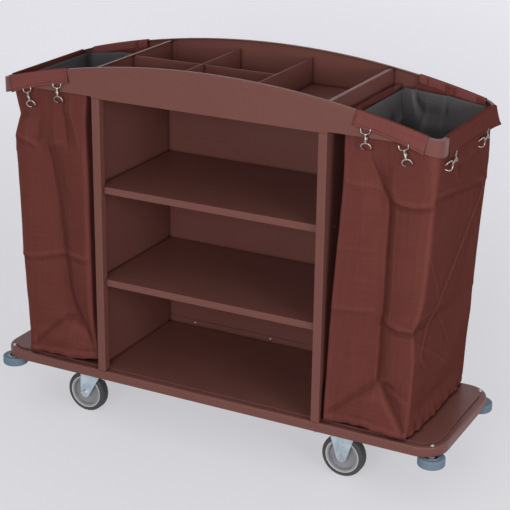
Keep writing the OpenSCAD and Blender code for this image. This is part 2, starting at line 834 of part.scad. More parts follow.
module swivel_plate() {
    color(zinc) difference() {
        union() {
            caster_plate_blank();
            translate([0, 0, race_bottom]) cylinder(r = race_radius, h = race_height);
        }
        translate([0, 0, race_bottom - 1]) cylinder(d = kingpin_diameter, h = race_height + caster_plate + 2);
    }
}

module kingpin() {
    head = kingpin_diameter / 2;
    head_top = crown_bottom - running_gap;
    color(zinc) union() {
        translate([0, 0, head_top]) cylinder(d = kingpin_diameter, h = base_bottom - head_top);
        translate([0, 0, head_top - head]) cylinder(d = kingpin_diameter * 1.7, h = head);
    }
}

module fork() {
    rear = -swivel_trail - fork_foot * 0.85;
    front = race_radius * 0.6;
    color(zinc) difference() {
        union() {
            // Crown: round under the race, straight over the legs
            translate([0, 0, crown_bottom]) linear_extrude(crown_sheet) {
                circle(race_radius);
                translate([rear, -fork_outer]) square([front - rear, 2 * fork_outer]);
            }
            leg_pair(-swivel_trail, rear + swivel_trail, front + swivel_trail, crown_bottom);
        }
        translate([0, 0, crown_bottom - 1])
            cylinder(r = kingpin_diameter / 2 + bore_clearance, h = crown_sheet + 2);
    }
}

// Pieces on an axle along Y through the origin
module axle() {
    head = axle_diameter * head_height_share;
    color(zinc) union() {
        translate([0, fork_outer + head, 0]) rotate([90, 0, 0])
            cylinder(d = axle_diameter, h = 2 * (fork_outer + head));
        for (y = [-fork_outer, fork_outer + head]) translate([0, y, 0]) rotate([90, 0, 0])
            hex_prism(axle_diameter * head_over_bolt, head);
    }
}

module hub() {
    boss = fork_inner - running_gap;
    bush_r = axle_diameter / 2 + bore_clearance + bush_wall;
    rim_half = wheel_width / 2 - 1;
    rim_inner = hub_radius - 7;
    boss_r = bush_r + 9;
    web_half = 4;
    color(hub_grey) rotate([90, 0, 0]) rotate_extrude() {
        translate([bush_r, -boss]) square([boss_r - bush_r, 2 * boss]);
        translate([boss_r - 1, -web_half]) square([rim_inner - boss_r + 2, 2 * web_half]);
        translate([rim_inner, -rim_half]) square([hub_radius - rim_inner, 2 * rim_half]);
    }
}

module bush() {
    bush_inner = axle_diameter / 2 + bore_clearance;
    bush_half = fork_inner - running_gap;
    color(zinc) rotate([90, 0, 0]) rotate_extrude()
        translate([bush_inner, -bush_half]) square([bush_wall, 2 * bush_half]);
}

module tyre() {
    shoulder = tread_depth * 0.5;
    outer = wheel_diameter / 2;
    color(tyre_grey) rotate([90, 0, 0]) rotate_extrude() {
        translate([hub_radius, -wheel_width / 2]) square([tread_depth - shoulder, wheel_width]);
        translate([hub_radius, -wheel_width / 2 + shoulder]) square([tread_depth, wheel_width - 2 * shoulder]);
        for (y = [-1, 1]) translate([outer - shoulder, y * (wheel_width / 2 - shoulder)]) circle(shoulder);
    }
}

// Bumpers, about a vertical bolt

module bumper_stud() {
    nut_top = bumper_bottom - running_gap;
    nut = bumper_bolt * nut_height_share;
    dome = 4;
    dome_r = (bumper_head * bumper_head + dome * dome) / (2 * dome);
    color(zinc) union() {
        translate([0, 0, nut_top - nut]) cylinder(d = bumper_bolt, h = base_top - nut_top + nut);
        translate([0, 0, nut_top - nut]) hex_prism(bumper_bolt * head_over_bolt, nut);
        intersection() {
            translate([0, 0, base_top + dome - dome_r]) sphere(dome_r);
            translate([0, 0, base_top]) cylinder(r = bumper_head, h = dome);
        }
    }
}

module bumper_spacer() {
    spacer_bottom = bumper_top + running_gap;
    color(zinc) difference() {
        translate([0, 0, spacer_bottom]) cylinder(d = 2 * bumper_bolt, h = base_bottom - spacer_bottom);
        translate([0, 0, spacer_bottom - 1])
            cylinder(r = bumper_bolt / 2 + hole_clearance, h = bumper_spacer_height + 1);
    }
}

module bumper_hub() {
    bore = bumper_bolt / 2 + bore_clearance;
    recess = 3;
    boss = 2 * bumper_bolt / 2 + 1;
    color(hub_grey) rotate_extrude() {
        translate([bore, bumper_bottom]) square([boss - bore, bumper_height]);
        translate([boss - 0.5, bumper_bottom + recess])
            square([bumper_hub_diameter / 2 - boss - 2.5, bumper_height - 2 * recess]);
        translate([bumper_hub_diameter / 2 - 3, bumper_bottom + 1]) square([3, bumper_height - 2]);
    }
}

module bumper_tyre() {
    round_r = 4;
    inner = bumper_hub_diameter / 2;
    outer = bumper_diameter / 2;
    color(bumper_grey) rotate_extrude() {
        translate([inner, bumper_bottom]) square([outer - inner - round_r, bumper_height]);
        translate([inner, bumper_bottom + round_r]) square([outer - inner, bumper_height - 2 * round_r]);
        for (z = [bumper_bottom + round_r, bumper_top - round_r]) translate([outer - round_r, z]) circle(round_r);
    }
}

// Places of the repeated pieces: end -1 is the swivel end, face -1 is the front

module at_caster(end, face) {
    translate([end * caster_x, face * caster_y, 0]) children();
}

module at_wheel(end, face) {
    trail = end < 0 ? swivel_trail : 0;
    translate([end * caster_x - trail, face * caster_y, axle_z]) children();
}

module at_bumper(end, face) {
    translate([end * bumper_x, face * bumper_y, 0]) children();
}

base_pan();
caster_channel(-1);  // left_caster_channel
caster_channel(1);  // right_caster_channel
wall(-1);  // left_wall
wall(1);  // right_wall
back_panel();
foot_strip();
shelf(shelf_zs[0]);  // lower_shelf
shelf(shelf_zs[1]);  // upper_shelf
tray_floor();
arch_panel(-1);  // front_arch_panel
arch_panel(1);  // rear_arch_panel
cross_divider(-left_divider_x, true);  // left_cross_divider
cross_divider(right_divider_x, false);  // right_cross_divider
long_divider();
end_band(-1);  // left_end_band
end_band(1);  // right_end_band
bag_rail(-1);  // left_bag_rail
bag_rail(1);  // right_bag_rail
bag(-1);  // left_bag
bag(1);  // right_bag
snap_hooks(-1);  // left_snap_hooks
snap_hooks(1);  // right_snap_hooks
wall_bolts();
shelf_screws();
strip_screws();
caster_bolts();
at_caster(-1, -1) swivel_plate();  // front_swivel_plate
at_caster(-1, 1) swivel_plate();  // rear_swivel_plate
for (face = [-1, 1]) at_caster(-1, face) kingpin();  // kingpins
at_caster(1, -1) fixed_bracket();  // front_fixed_bracket
at_caster(1, 1) fixed_bracket();  // rear_fixed_bracket
for (face = [-1, 1]) at_wheel(1, face) axle();  // fixed_axles
for (c = corners) at_bumper(c.x, c.y) bumper_stud();  // bumper_bolts
for (c = corners) at_bumper(c.x, c.y) bumper_spacer();  // bumper_spacers
at_caster(-1, -1) fork();  // front_fork
at_caster(-1, 1) fork();  // rear_fork
at_wheel(-1, -1) axle();  // front_swivel_axle
at_wheel(-1, 1) axle();  // rear_swivel_axle
at_wheel(-1, -1) hub();  // front_left_hub
at_wheel(-1, 1) hub();  // rear_left_hub
at_wheel(1, -1) hub();  // front_right_hub
at_wheel(1, 1) hub();  // rear_right_hub
at_wheel(-1, -1) bush();  // front_left_bush
at_wheel(-1, 1) bush();  // rear_left_bush
at_wheel(1, -1) bush();  // front_right_bush
at_wheel(1, 1) bush();  // rear_right_bush
at_wheel(-1, -1) tyre();  // front_left_tyre
at_wheel(-1, 1) tyre();  // rear_left_tyre
at_wheel(1, -1) tyre();  // front_right_tyre
at_wheel(1, 1) tyre();  // rear_right_tyre
at_bumper(-1, -1) bumper_hub();  // front_left_bumper_hub
at_bumper(-1, 1) bumper_hub();  // rear_left_bumper_hub
at_bumper(1, -1) bumper_hub();  // front_right_bumper_hub
at_bumper(1, 1) bumper_hub();  // rear_right_bumper_hub
at_bumper(-1, -1) bumper_tyre();  // front_left_bumper_tyre
at_bumper(-1, 1) bumper_tyre();  // rear_left_bumper_tyre
at_bumper(1, -1) bumper_tyre();  // front_right_bumper_tyre
at_bumper(1, 1) bumper_tyre();  // rear_right_bumper_tyre
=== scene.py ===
"""Housekeeping cart: finishes of the steel and the casters, the two cloth bags and their snap hooks.

Lengths of shapes are in millimetres, in the cart's own frame, and become metres when a mesh is made.
Finishes, lights, the camera and the sheets' flat sizes are in metres.
"""

import json
import math

import bpy
import numpy as np
from mathutils import Matrix, Vector, noise


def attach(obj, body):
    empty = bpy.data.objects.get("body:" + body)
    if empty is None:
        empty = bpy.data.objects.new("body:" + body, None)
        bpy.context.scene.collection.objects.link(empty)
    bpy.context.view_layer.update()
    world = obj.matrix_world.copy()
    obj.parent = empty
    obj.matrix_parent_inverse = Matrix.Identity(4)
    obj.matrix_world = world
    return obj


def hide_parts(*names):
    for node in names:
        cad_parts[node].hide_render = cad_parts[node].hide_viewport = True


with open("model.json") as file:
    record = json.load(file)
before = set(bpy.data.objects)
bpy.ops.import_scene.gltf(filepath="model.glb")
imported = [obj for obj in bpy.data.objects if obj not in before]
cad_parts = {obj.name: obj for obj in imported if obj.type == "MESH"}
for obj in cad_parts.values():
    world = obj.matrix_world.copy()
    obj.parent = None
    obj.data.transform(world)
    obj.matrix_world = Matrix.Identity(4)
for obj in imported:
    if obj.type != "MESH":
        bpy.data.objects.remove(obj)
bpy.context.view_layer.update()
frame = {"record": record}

MM = 0.001

# Rim that the bags hang on
ARCH_RADIUS = 2400
ARCH_CENTRE_Z = -1290.7
RIM_X = 662
PANEL_Y = 219
FLANGE = 11
FLANGE_GAP = 1.9
RAIL_INNER_X = 374
RAIL_OUTER_X = 379
RAIL_TOP = 1039.2

# Flaps: where they lie, how far they hang outside and inside, and how far their hem is turned up
FLAP_X = (434, 627)
FLAP_EDGE_Z = (1031.0, 979.0)
FLAP_DROP = 44
END_FLAP_Y = (-158, 195)
END_FLAP_Z = 966.2
END_FLAP_DROP = 52
RAIL_FLAP_HALF = 158
RAIL_FLAP_Z = 999.2
FACING = 24
HEM = 7

# Cloth
CLOTH = 1.2
FLAP_CLOTH = 0.9
LINING_CLOTH = 0.6
CLOTH_GAP = 0.5
FLAP_LIFT = CLOTH_GAP + 1.0
BAG_Y = 207.0
BAG_TOP_Z = 1008
BAG_EDGE_Z = 191
BAG_FLOOR_Z = 188.2
ROW_STEP = 5.0
FACE_COLUMNS = {"front": 92, "end": 100, "rear": 92, "inner": 60}
CORNER_COLUMNS = 5


def within(value):
    """The value, kept from 0 to 1."""
    return min(max(value, 0), 1)


def between(pairs, place):
    """Value at a place on the line through (place, value) pairs."""
    ordered = sorted(pairs)
    return float(np.interp(place, [pair[0] for pair in ordered], [pair[1] for pair in ordered]))


def rough_at(x, y, z):
    """Smooth noise about 0."""
    return noise.noise(Vector((x, y, z)))


def arch_z(x):
    """Height of the rim's arch."""
    return ARCH_CENTRE_Z + math.sqrt(ARCH_RADIUS * ARCH_RADIUS - x * x)


def flap_edge_z(x):
    """Height of a front or rear flap's lower edge, which bows up a little."""
    share = (x - FLAP_X[0]) / (FLAP_X[1] - FLAP_X[0])
    straight = FLAP_EDGE_Z[0] + share * (FLAP_EDGE_Z[1] - FLAP_EDGE_Z[0])
    return straight + 5.5 * math.sin(math.pi * within(share))


def srgb(red, green, blue):
    """A colour given as 0 to 255 on the screen, as the shader's linear values."""
    linear = []
    for level in (red, green, blue):
        level = level / 255
        linear.append(level / 12.92 if level < 0.04045 else ((level + 0.055) / 1.055) ** 2.4)
    return (*linear, 1.0)


# Shader nodes

def set_inputs(tree, node, inputs):
    """Give a node's inputs, by name or number, their values or the outputs that feed them."""
    for label, value in inputs.items():
        if isinstance(value, bpy.types.NodeSocket):
            tree.links.new(value, node.inputs[label])
        else:
            node.inputs[label].default_value = value


def add_node(tree, kind, inputs, **settings):
    node = tree.nodes.new(kind)
    for label, value in settings.items():
        setattr(node, label, value)
    set_inputs(tree, node, inputs)
    return node.outputs


def math_node(tree, operation, *values, clamp=False):
    return add_node(tree, "ShaderNodeMath", dict(enumerate(values)), operation=operation, use_clamp=clamp)[0]


def noise_node(tree, place, scale, detail, roughness):
    inputs = {"Vector": place, "Scale": scale, "Detail": detail, "Roughness": roughness}
    return add_node(tree, "ShaderNodeTexNoise", inputs)["Fac"]


def ramp_node(tree, value, low, high):
    """0 below low, 1 above high and smooth between."""
    inputs = {"Value": value, "From Min": low, "From Max": high}
    return add_node(tree, "ShaderNodeMapRange", inputs, interpolation_type="SMOOTHSTEP")["Result"]


def mix_colour(tree, share, first, second):
    return add_node(tree, "ShaderNodeMix", {0: share, 6: first, 7: second}, data_type="RGBA")[2]


def tint(tree, colour, mask, share, levels):
    """The colour with another, given as screen levels, laid over it up to a share of the mask."""
    return mix_colour(tree, math_node(tree, "MULTIPLY", mask, share), colour, srgb(*levels))


def scaled(levels, gain):
    return [level * gain for level in levels]


def object_place(tree):
    return add_node(tree, "ShaderNodeTexCoord", {})["Object"]


def stretched(tree, place, scale):
    return add_node(tree, "ShaderNodeMapping", {"Vector": place, "Scale": scale})["Vector"]


def seen_rays(tree):
    """1 for what the camera sees, straight, mirrored or through glass, and the light path's outputs."""
    rays = add_node(tree, "ShaderNodeLightPath", {})
    seen = math_node(tree, "MAXIMUM", rays["Is Camera Ray"], rays["Is Glossy Ray"])
    return math_node(tree, "MAXIMUM", seen, rays["Is Transmission Ray"]), rays


# Node groups that several finishes share

def new_group(name, inputs, outputs):
    """Node group with number inputs, given with their defaults, and number outputs or a vector Normal."""
    group = bpy.data.node_groups.new(name, "ShaderNodeTree")
    for label, value in inputs.items():
        socket = group.interface.new_socket(label, in_out="INPUT", socket_type="NodeSocketFloat")
        socket.default_value = value
    for label in outputs:
        kind = "NodeSocketVector" if label == "Normal" else "NodeSocketFloat"
        group.interface.new_socket(label, in_out="OUTPUT", socket_type=kind)
    start = group.nodes.new("NodeGroupInput").outputs
    return group, start, group.nodes.new("NodeGroupOutput")


def edge_highlight_and_wear_group():
    """Mask of the outer edges, which paints a highlight on them; the same mask broken up as handling wears
    them; and the edge's rounded normal.
    """
    group, start, end = new_group("edge highlight and wear", {"Width": 0.0015, "Gain": 4.0}, ("Edge", "Worn", "Normal"))
    rounded = add_node(group, "ShaderNodeBevel", {"Radius": start["Width"]}, samples=4)["Normal"]
    flat = add_node(group, "ShaderNodeNewGeometry", {})["Normal"]
    dot = add_node(group, "ShaderNodeVectorMath", {0: rounded, 1: flat}, operation="DOT_PRODUCT")["Value"]
    turned = math_node(group, "SUBTRACT", 1.0, dot, clamp=True)
    edge = math_node(group, "MULTIPLY", turned, start["Gain"], clamp=True)
    breaks = ramp_node(group, noise_node(group, object_place(group), 60.0, 5.0, 0.7), 0.42, 0.66)
    worn = math_node(group, "MULTIPLY", edge, breaks, clamp=True)
    set_inputs(group, end, {"Edge": edge, "Worn": worn, "Normal": rounded})
    return group


def coat_grain_group():
    """Orange-peel skin of a sprayed or moulded surface, with soft patches of tone."""
    group, start, end = new_group("coat grain", {"Grain": 700.0, "Patch": 6.0}, ("Height", "Tone", "Speckle"))
    place = object_place(group)
    peel = noise_node(group, place, start["Grain"], 2.0, 0.5)
    patch = noise_node(group, place, start["Patch"], 4.0, 0.6)
    finer = math_node(group, "MULTIPLY", start["Grain"], 2.3)
    speckle = noise_node(group, place, finer, 1.0, 0.5)
    set_inputs(group, end, {"Height": peel, "Tone": patch, "Speckle": speckle})
    return group


def dust_group():
    """Thin dust on what faces up, and rubbed streaks of it elsewhere."""
    group, start, end = new_group("dust", {"Amount": 0.3, "Scale": 14.0}, ("Dust", "Streak"))
    normal = add_node(group, "ShaderNodeNewGeometry", {})["Normal"]
    facing_up = ramp_node(group, add_node(group, "ShaderNodeSeparateXYZ", {0: normal})["Z"], 0.35, 0.95)
    place = object_place(group)
    cloud = ramp_node(group, noise_node(group, place, start["Scale"], 6.0, 0.65), 0.38, 0.72)
    lying = math_node(group, "MULTIPLY", facing_up, cloud)
    dusty = math_node(group, "MULTIPLY", lying, start["Amount"], clamp=True)
    streak = noise_node(group, stretched(group, place, (18.0, 18.0, 3.0)), 1.0, 5.0, 0.6)
    set_inputs(group, end, {"Dust": dusty, "Streak": ramp_node(group, streak, 0.52, 0.78)})
    return group


def corner_shade_group():
    """Mask of the inner corners, where two surfaces meet, for painted shade there."""
    group, start, end = new_group("painted corner shade", {"Reach": 0.012}, ("Painted shade",))
    near = add_node(group, "ShaderNodeAmbientOcclusion", {"Distance": start["Reach"]}, samples=6)
    shut = ramp_node(group, math_node(group, "SUBTRACT", 1.0, near["AO"]), 0.12, 0.6)
    broken = noise_node(group, object_place(group), 60.0, 3.0, 0.6)
    uneven = math_node(group, "MULTIPLY_ADD", broken, 0.5, 0.7)
    set_inputs(group, end, {"Painted shade": math_node(group, "MULTIPLY", shut, uneven, clamp=True)})
    return group


def weave_group():
    """Plain weave laid out on the flat cloth, slubs in its thread, crumples, and the creases it was given."""
    group, start, end = new_group(
        "weave", {"Thread": 0.0011}, ("Height", "Tone", "Crumple", "Valley", "Ridge"))
    crease = add_node(group, "ShaderNodeAttribute", {}, attribute_name="crease")["Fac"]
    turned = math_node(group, "MULTIPLY", crease, -1.0)
    flat = add_node(group, "ShaderNodeUVMap", {}, uv_map="flat")["UV"]
    split = add_node(group, "ShaderNodeSeparateXYZ", {0: flat})
    pitch = math_node(group, "DIVIDE", math.pi, start["Thread"])
    warp = math_node(group, "SINE", math_node(group, "MULTIPLY", split["X"], pitch))
    weft = math_node(group, "SINE", math_node(group, "MULTIPLY", split["Y"], pitch))
    over = math_node(group, "MULTIPLY", warp, weft)
    across = noise_node(group, stretched(group, flat, (9.0, 170.0, 1.0)), 1.0, 2.0, 0.5)
    down = noise_node(group, stretched(group, flat, (150.0, 9.0, 1.0)), 1.0, 2.0, 0.5)
    place = object_place(group)
    broad = noise_node(group, place, 9.0, 3.0, 0.55)
    fold = math_node(group, "ABSOLUTE", math_node(group, "SUBTRACT", broad, 0.5))
    fine = noise_node(group, place, 46.0, 4.0, 0.6)
    set_inputs(group, end, {
        "Height": math_node(group, "MULTIPLY_ADD", over, 0.5, 0.5),
        "Tone": math_node(group, "MULTIPLY", math_node(group, "ADD", across, down), 0.5),
        "Crumple": math_node(group, "MULTIPLY_ADD", fine, 0.35, math_node(group, "MULTIPLY", fold, -1.6)),
        "Valley": ramp_node(group, crease, 0.04, 0.9),
        "Ridge": ramp_node(group, turned, 0.04, 0.9),
    })
    return group


EDGE_HIGHLIGHT_AND_WEAR = edge_highlight_and_wear_group()
COAT_GRAIN = coat_grain_group()
DUST = dust_group()
WEAVE = weave_group()
CORNER_SHADE = corner_shade_group()


# Finishes

def new_finish(name):
    finish = bpy.data.materials.new(name)
    finish.use_nodes = True
    tree = finish.node_tree
    return finish, tree, tree.nodes["Principled BSDF"]


def place_group(tree, group, **values):
    return add_node(tree, "ShaderNodeGroup", values, node_tree=group)


def add_bump(tree, shader, height, distance, normal=None):
    inputs = {"Strength": 1.0, "Distance": distance, "Height": height}
    if normal is not None:
        inputs["Normal"] = normal
    set_inputs(tree, shader, {"Normal": add_node(tree, "ShaderNodeBump", inputs)["Normal"]})


def brown_coat():
    """Brown powder coat: satin, a fine orange peel, a painted highlight along its folds and edges, rubbed
    edges, and painted shade in its inner corners.
    """
    finish, tree, shader = new_finish("brown powder coat")
    grain = place_group(tree, COAT_GRAIN, Grain=520.0, Patch=4.0)
    edge_light_and_wear = place_group(tree, EDGE_HIGHLIGHT_AND_WEAR, Width=0.0012, Gain=2.6)
    dust = place_group(tree, DUST, Amount=0.04, Scale=11.0)
    corner_shade = place_group(tree, CORNER_SHADE, Reach=0.012)
    colour = mix_colour(tree, grain["Tone"], srgb(119, 74, 67), srgb(131, 83, 76))
    colour = tint(tree, colour, ramp_node(tree, grain["Speckle"], 0.62, 0.8), 0.18, (160, 118, 108))
    # Painted highlight: all edges and folds paler, where light catches them
    colour = tint(tree, colour, edge_light_and_wear["Edge"], 0.42, (176, 140, 132))
    colour = tint(tree, colour, edge_light_and_wear["Worn"], 0.35, (196, 170, 160))
    colour = tint(tree, colour, dust["Dust"], 1.0, (168, 144, 134))
    # Painted shade: inner corners darkened where shade falls
    colour = tint(tree, colour, corner_shade["Painted shade"], 0.8, (40, 22, 19))
    rough = math_node(tree, "MULTIPLY_ADD", grain["Tone"], 0.14, 0.29)
    rough = math_node(tree, "MULTIPLY_ADD", dust["Streak"], 0.08, rough, clamp=True)
    set_inputs(tree, shader, {"Base Color": colour, "Roughness": rough, "Specular IOR Level": 0.26})
    add_bump(tree, shader, grain["Height"], 0.00012, edge_light_and_wear["Normal"])
    return finish


def bag_cloth(name, dark, light, sheen, roughness, thread, crumple, soil_and_crease_shading=0.24):
    """Woven cloth with crumples from folding and a soft sheen, painted shade in its creases and a painted
    highlight on its ridges.
    """
    finish, tree, shader = new_finish(name)
    weave = place_group(tree, WEAVE, Thread=thread)
    grain = place_group(tree, COAT_GRAIN, Grain=900.0, Patch=5.0)
    share = math_node(tree, "MULTIPLY_ADD", weave["Tone"], 0.9, -0.25)
    share = math_node(tree, "MULTIPLY_ADD", grain["Tone"], 0.6, share, clamp=True)
    colour = mix_colour(tree, share, srgb(*dark), srgb(*light))
    gaps = math_node(tree, "MULTIPLY_ADD", weave["Height"], -0.22, 0.22, clamp=True)
    colour = tint(tree, colour, gaps, 1.0, scaled(dark, 0.6))
    # Painted shade in the valley creases and a painted highlight on the ridges
    colour = tint(tree, colour, weave["Valley"], soil_and_crease_shading, scaled(dark, 0.55))
    colour = tint(tree, colour, weave["Ridge"], soil_and_crease_shading * 0.67, scaled(light, 1.18))
    rough = math_node(tree, "MULTIPLY_ADD", grain["Speckle"], 0.16, roughness - 0.08, clamp=True)
    set_inputs(tree, shader, {
        "Base Color": colour, "Roughness": rough, "Specular IOR Level": 0.0,
        "Sheen Weight": sheen, "Sheen Roughness": 0.45, "Sheen Tint": srgb(*light),
    })
    threads = math_node(tree, "MULTIPLY", weave["Height"], 0.00022)
    add_bump(tree, shader, math_node(tree, "MULTIPLY_ADD", weave["Crumple"], crumple, threads), 1.0)
    return finish


def plated(name, dull, bright, roughness, patch, dusty):
    """Plated metal: patches of brighter plating, worn edges and a little grime."""
    finish, tree, shader = new_finish(name)
    grain = place_group(tree, COAT_GRAIN, Grain=420.0, Patch=patch)
    edge_light_and_wear = place_group(tree, EDGE_HIGHLIGHT_AND_WEAR, Width=0.0009, Gain=3.0)
    dust = place_group(tree, DUST, Amount=dusty, Scale=40.0)
    colour = mix_colour(tree, ramp_node(tree, grain["Tone"], 0.3, 0.7), srgb(*dull), srgb(*bright))
    colour = tint(tree, colour, dust["Streak"], 0.3, scaled(dull, 0.55))
    colour = tint(tree, colour, edge_light_and_wear["Worn"], 0.5, (236, 236, 234))
    rough = math_node(tree, "MULTIPLY_ADD", grain["Speckle"], 0.2, roughness - 0.1)
    rough = math_node(tree, "MULTIPLY_ADD", dust["Streak"], 0.15, rough, clamp=True)
    set_inputs(tree, shader, {"Base Color": colour, "Roughness": rough, "Metallic": 1.0})
    add_bump(tree, shader, grain["Height"], 0.00004, edge_light_and_wear["Normal"])
    return finish


def moulded(name, dark, light, roughness, grain_scale, dusty, dust_colour):
    """Moulded plastic or rubber with a fine skin, scuffs and dust in the grain."""
    finish, tree, shader = new_finish(name)
    grain = place_group(tree, COAT_GRAIN, Grain=grain_scale, Patch=22.0)
    edge_light_and_wear = place_group(tree, EDGE_HIGHLIGHT_AND_WEAR, Width=0.0012, Gain=2.5)
    dust = place_group(tree, DUST, Amount=dusty, Scale=55.0)
    colour = mix_colour(tree, grain["Tone"], srgb(*dark), srgb(*light))
    colour = tint(tree, colour, edge_light_and_wear["Worn"], 0.35, dust_colour)
    soil_and_crease_shading = math_node(tree, "MULTIPLY_ADD", dust["Streak"], 0.25, dust["Dust"], clamp=True)
    colour = tint(tree, colour, soil_and_crease_shading, dusty, dust_colour)
    rough = math_node(tree, "MULTIPLY_ADD", grain["Speckle"], 0.2, roughness - 0.1, clamp=True)
    set_inputs(tree, shader, {"Base Color": colour, "Roughness": rough})
    add_bump(tree, shader, grain["Height"], 0.0001, edge_light_and_wear["Normal"])
    return finish


BROWN = brown_coat()
MAROON = bag_cloth("maroon bag cloth", (106, 57, 51), (132, 75, 69), 0.02, 0.55, 0.0011, 0.0012)
# The bag's own maroon cloth painted lighter, for the light the face flaps catch
LIT_MAROON = bag_cloth("maroon cloth painted lighter", (124, 70, 66), (152, 92, 88), 0.02, 0.55, 0.0011, 0.0012)
LINING = bag_cloth("grey bag lining", (88, 86, 87), (116, 113, 114), 0.1, 0.6, 0.0011, 0.0022, 0.7)
THREAD = bag_cloth("maroon thread", (106, 50, 44), (128, 68, 60), 0.1, 0.6, 0.0006, 0.0)
NICKEL = plated("nickel plate", (142, 134, 125), (184, 176, 166), 0.24, 30.0, 0.1)
FASTENER = plated("bright zinc fastener", (168, 172, 174), (208, 212, 214), 0.36, 60.0, 0.2)
ZINC = plated("blue zinc plate", (168, 184, 194), (206, 220, 228), 0.4, 26.0, 0.25)
HUB = moulded("grey wheel hub", (150, 150, 154), (172, 172, 176), 0.5, 380.0, 0.25, (110, 106, 102))
RING = moulded("white hub ring", (206, 204, 200), (226, 224, 220), 0.45, 380.0, 0.2, (150, 144, 138))
TYRE = moulded("grey rubber tyre", (66, 64, 66), (82, 79, 81), 0.7, 520.0, 0.45, (140, 134, 126))
# Black, as painted shade in the bumper bearings' recess
RECESS_SHADE = moulded("black painted recess shade", (30, 30, 32), (42, 42, 44), 0.5, 420.0, 0.2, (90, 88, 86))
BUMPER_HUB = moulded("pale bumper hub", (150, 160, 170), (176, 184, 192), 0.5, 380.0, 0.25, (112, 110, 108))
BUMPER = moulded(
    "blue-grey bumper rubber", (104, 126, 146), (126, 148, 166), 0.62, 480.0, 0.35, (168, 164, 158))

SLOT_FINISH = {
    "brown_steel": BROWN,
    "bag_cloth": MAROON,
    "nickel": NICKEL,
    "fastener_zinc": FASTENER,
    "caster_zinc": ZINC,
    "wheel_hub": HUB,
    "wheel_tyre": TYRE,
    "bumper_hub": BUMPER_HUB,
    "bumper_rubber": BUMPER,
}


# Making pieces

def circle(centre, across, over, radius, sides):
    angles = [2 * math.pi * side / sides for side in range(sides)]
    return [centre + (across * math.cos(angle) + over * math.sin(angle)) * radius for angle in angles]


class Shape:
    """Points, faces and flat cloth places of one piece."""

    def __init__(self):
        self.points = []
        self.faces = []
        self.flat = []

    def grid(self, rows, flat=None, closed=False):
        """Quads between rows of points; a closed grid joins the end of each row to its start."""
        first = len(self.points)
        count = len(rows[0])
        for row in rows:
            self.points.extend(tuple(point) for point in row)
        for row in flat or [[(0.0, 0.0)] * count] * len(rows):
            self.flat.extend(row)
        for row in range(len(rows) - 1):
            start = first + row * count
            for column in range(count if closed else count - 1):
                here = start + column
                beside = start + (column + 1) % count
                self.faces.append((here, beside, beside + count, here + count))

    def tube(self, path, radius, sides):
        """Round wire with flat ends along a path; radius is one number or one for each point."""
        path = [Vector(point) for point in path]
        last = len(path) - 1
        radii = [radius] * len(path) if isinstance(radius, (int, float)) else radius
        rows = []
        across = None
        for index, point in enumerate(path):
            along = (path[min(index + 1, last)] - path[max(index - 1, 0)]).normalized()
            if across is None:
                across = along.orthogonal().normalized()
            across = (across - along * across.dot(along)).normalized()
            rows.append(circle(point, across, along.cross(across), radii[index], sides))
        first = len(self.points)
        self.grid(rows, closed=True)
        self.faces.append(tuple(first + side for side in reversed(range(sides))))
        self.faces.append(tuple(first + last * sides + side for side in range(sides)))

    def turned(self, profile, centre, axis, sides):
        """Closed profile of (radius, height) turned about an axis through the centre."""
        axis = Vector(axis).normalized()
        across = axis.orthogonal().normalized()
        over = axis.cross(across)
        rows = []
        for radius, height in profile + profile[:1]:
            rows.append(circle(Vector(centre) + axis * height, across, over, radius, sides))
        self.grid(rows, closed=True)

    def flip(self):
        self.faces = [tuple(reversed(face)) for face in self.faces]


def make_piece(name, shape, body, finish, mirror=1, smooth=60):
    """Object from a shape; mirror -1 puts it at the cart's left end."""
    mesh = bpy.data.meshes.new(name)
    points = [(point[0] * mirror * MM, point[1] * MM, point[2] * MM) for point in shape.points]
    if mirror < 0:
        shape.flip()
    mesh.from_pydata(points, [], shape.faces)
    flat = mesh.uv_layers.new(name="flat")
    places = np.array(shape.flat, np.float32)
    corners = np.zeros(len(mesh.loops), np.int32)
    mesh.loops.foreach_get("vertex_index", corners)
    flat.data.foreach_set("uv", places[corners].ravel())
    mesh.materials.append(finish)
    mesh.polygons.foreach_set("use_smooth", [True] * len(mesh.polygons))
    mesh.update()
    if smooth < 180:
        mesh.set_sharp_from_angle(angle=math.radians(smooth))
    obj = bpy.data.objects.new(name, mesh)
    bpy.context.scene.collection.objects.link(obj)
    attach(obj, body)
    return obj


def turned_piece(name, profiles, centre, axis, sides, body, finish):
    shape = Shape()
    for profile in profiles:
        shape.turned(profile, centre, axis, sides)
    return make_piece(name, shape, body, finish, smooth=50)


def thicken(obj, thickness, inwards=True):
    """Cloth of a real thickness, applied to the mesh."""
    solid = obj.modifiers.new("cloth thickness", "SOLIDIFY")
    solid.thickness = thickness * MM
    solid.offset = -1.0 if inwards else 1.0
    shown = obj.evaluated_get(bpy.context.evaluated_depsgraph_get())
    mesh = bpy.data.meshes.new_from_object(shown)
    obj.modifiers.clear()
    old = obj.data
    obj.data = mesh
    bpy.data.meshes.remove(old)


# CAD nodes keep their shape and get the finishes

for row in frame["record"]["subparts"]:
    node = bpy.data.objects.get(row["node"])
    if node is None or node.type != "MESH":
        continue
    finish = SLOT_FINISH[row["material_slot"]]
    if not node.data.materials:
        node.data.materials.append(finish)
    for index in range(len(node.data.materials)):
        node.data.materials[index] = finish


# Bags

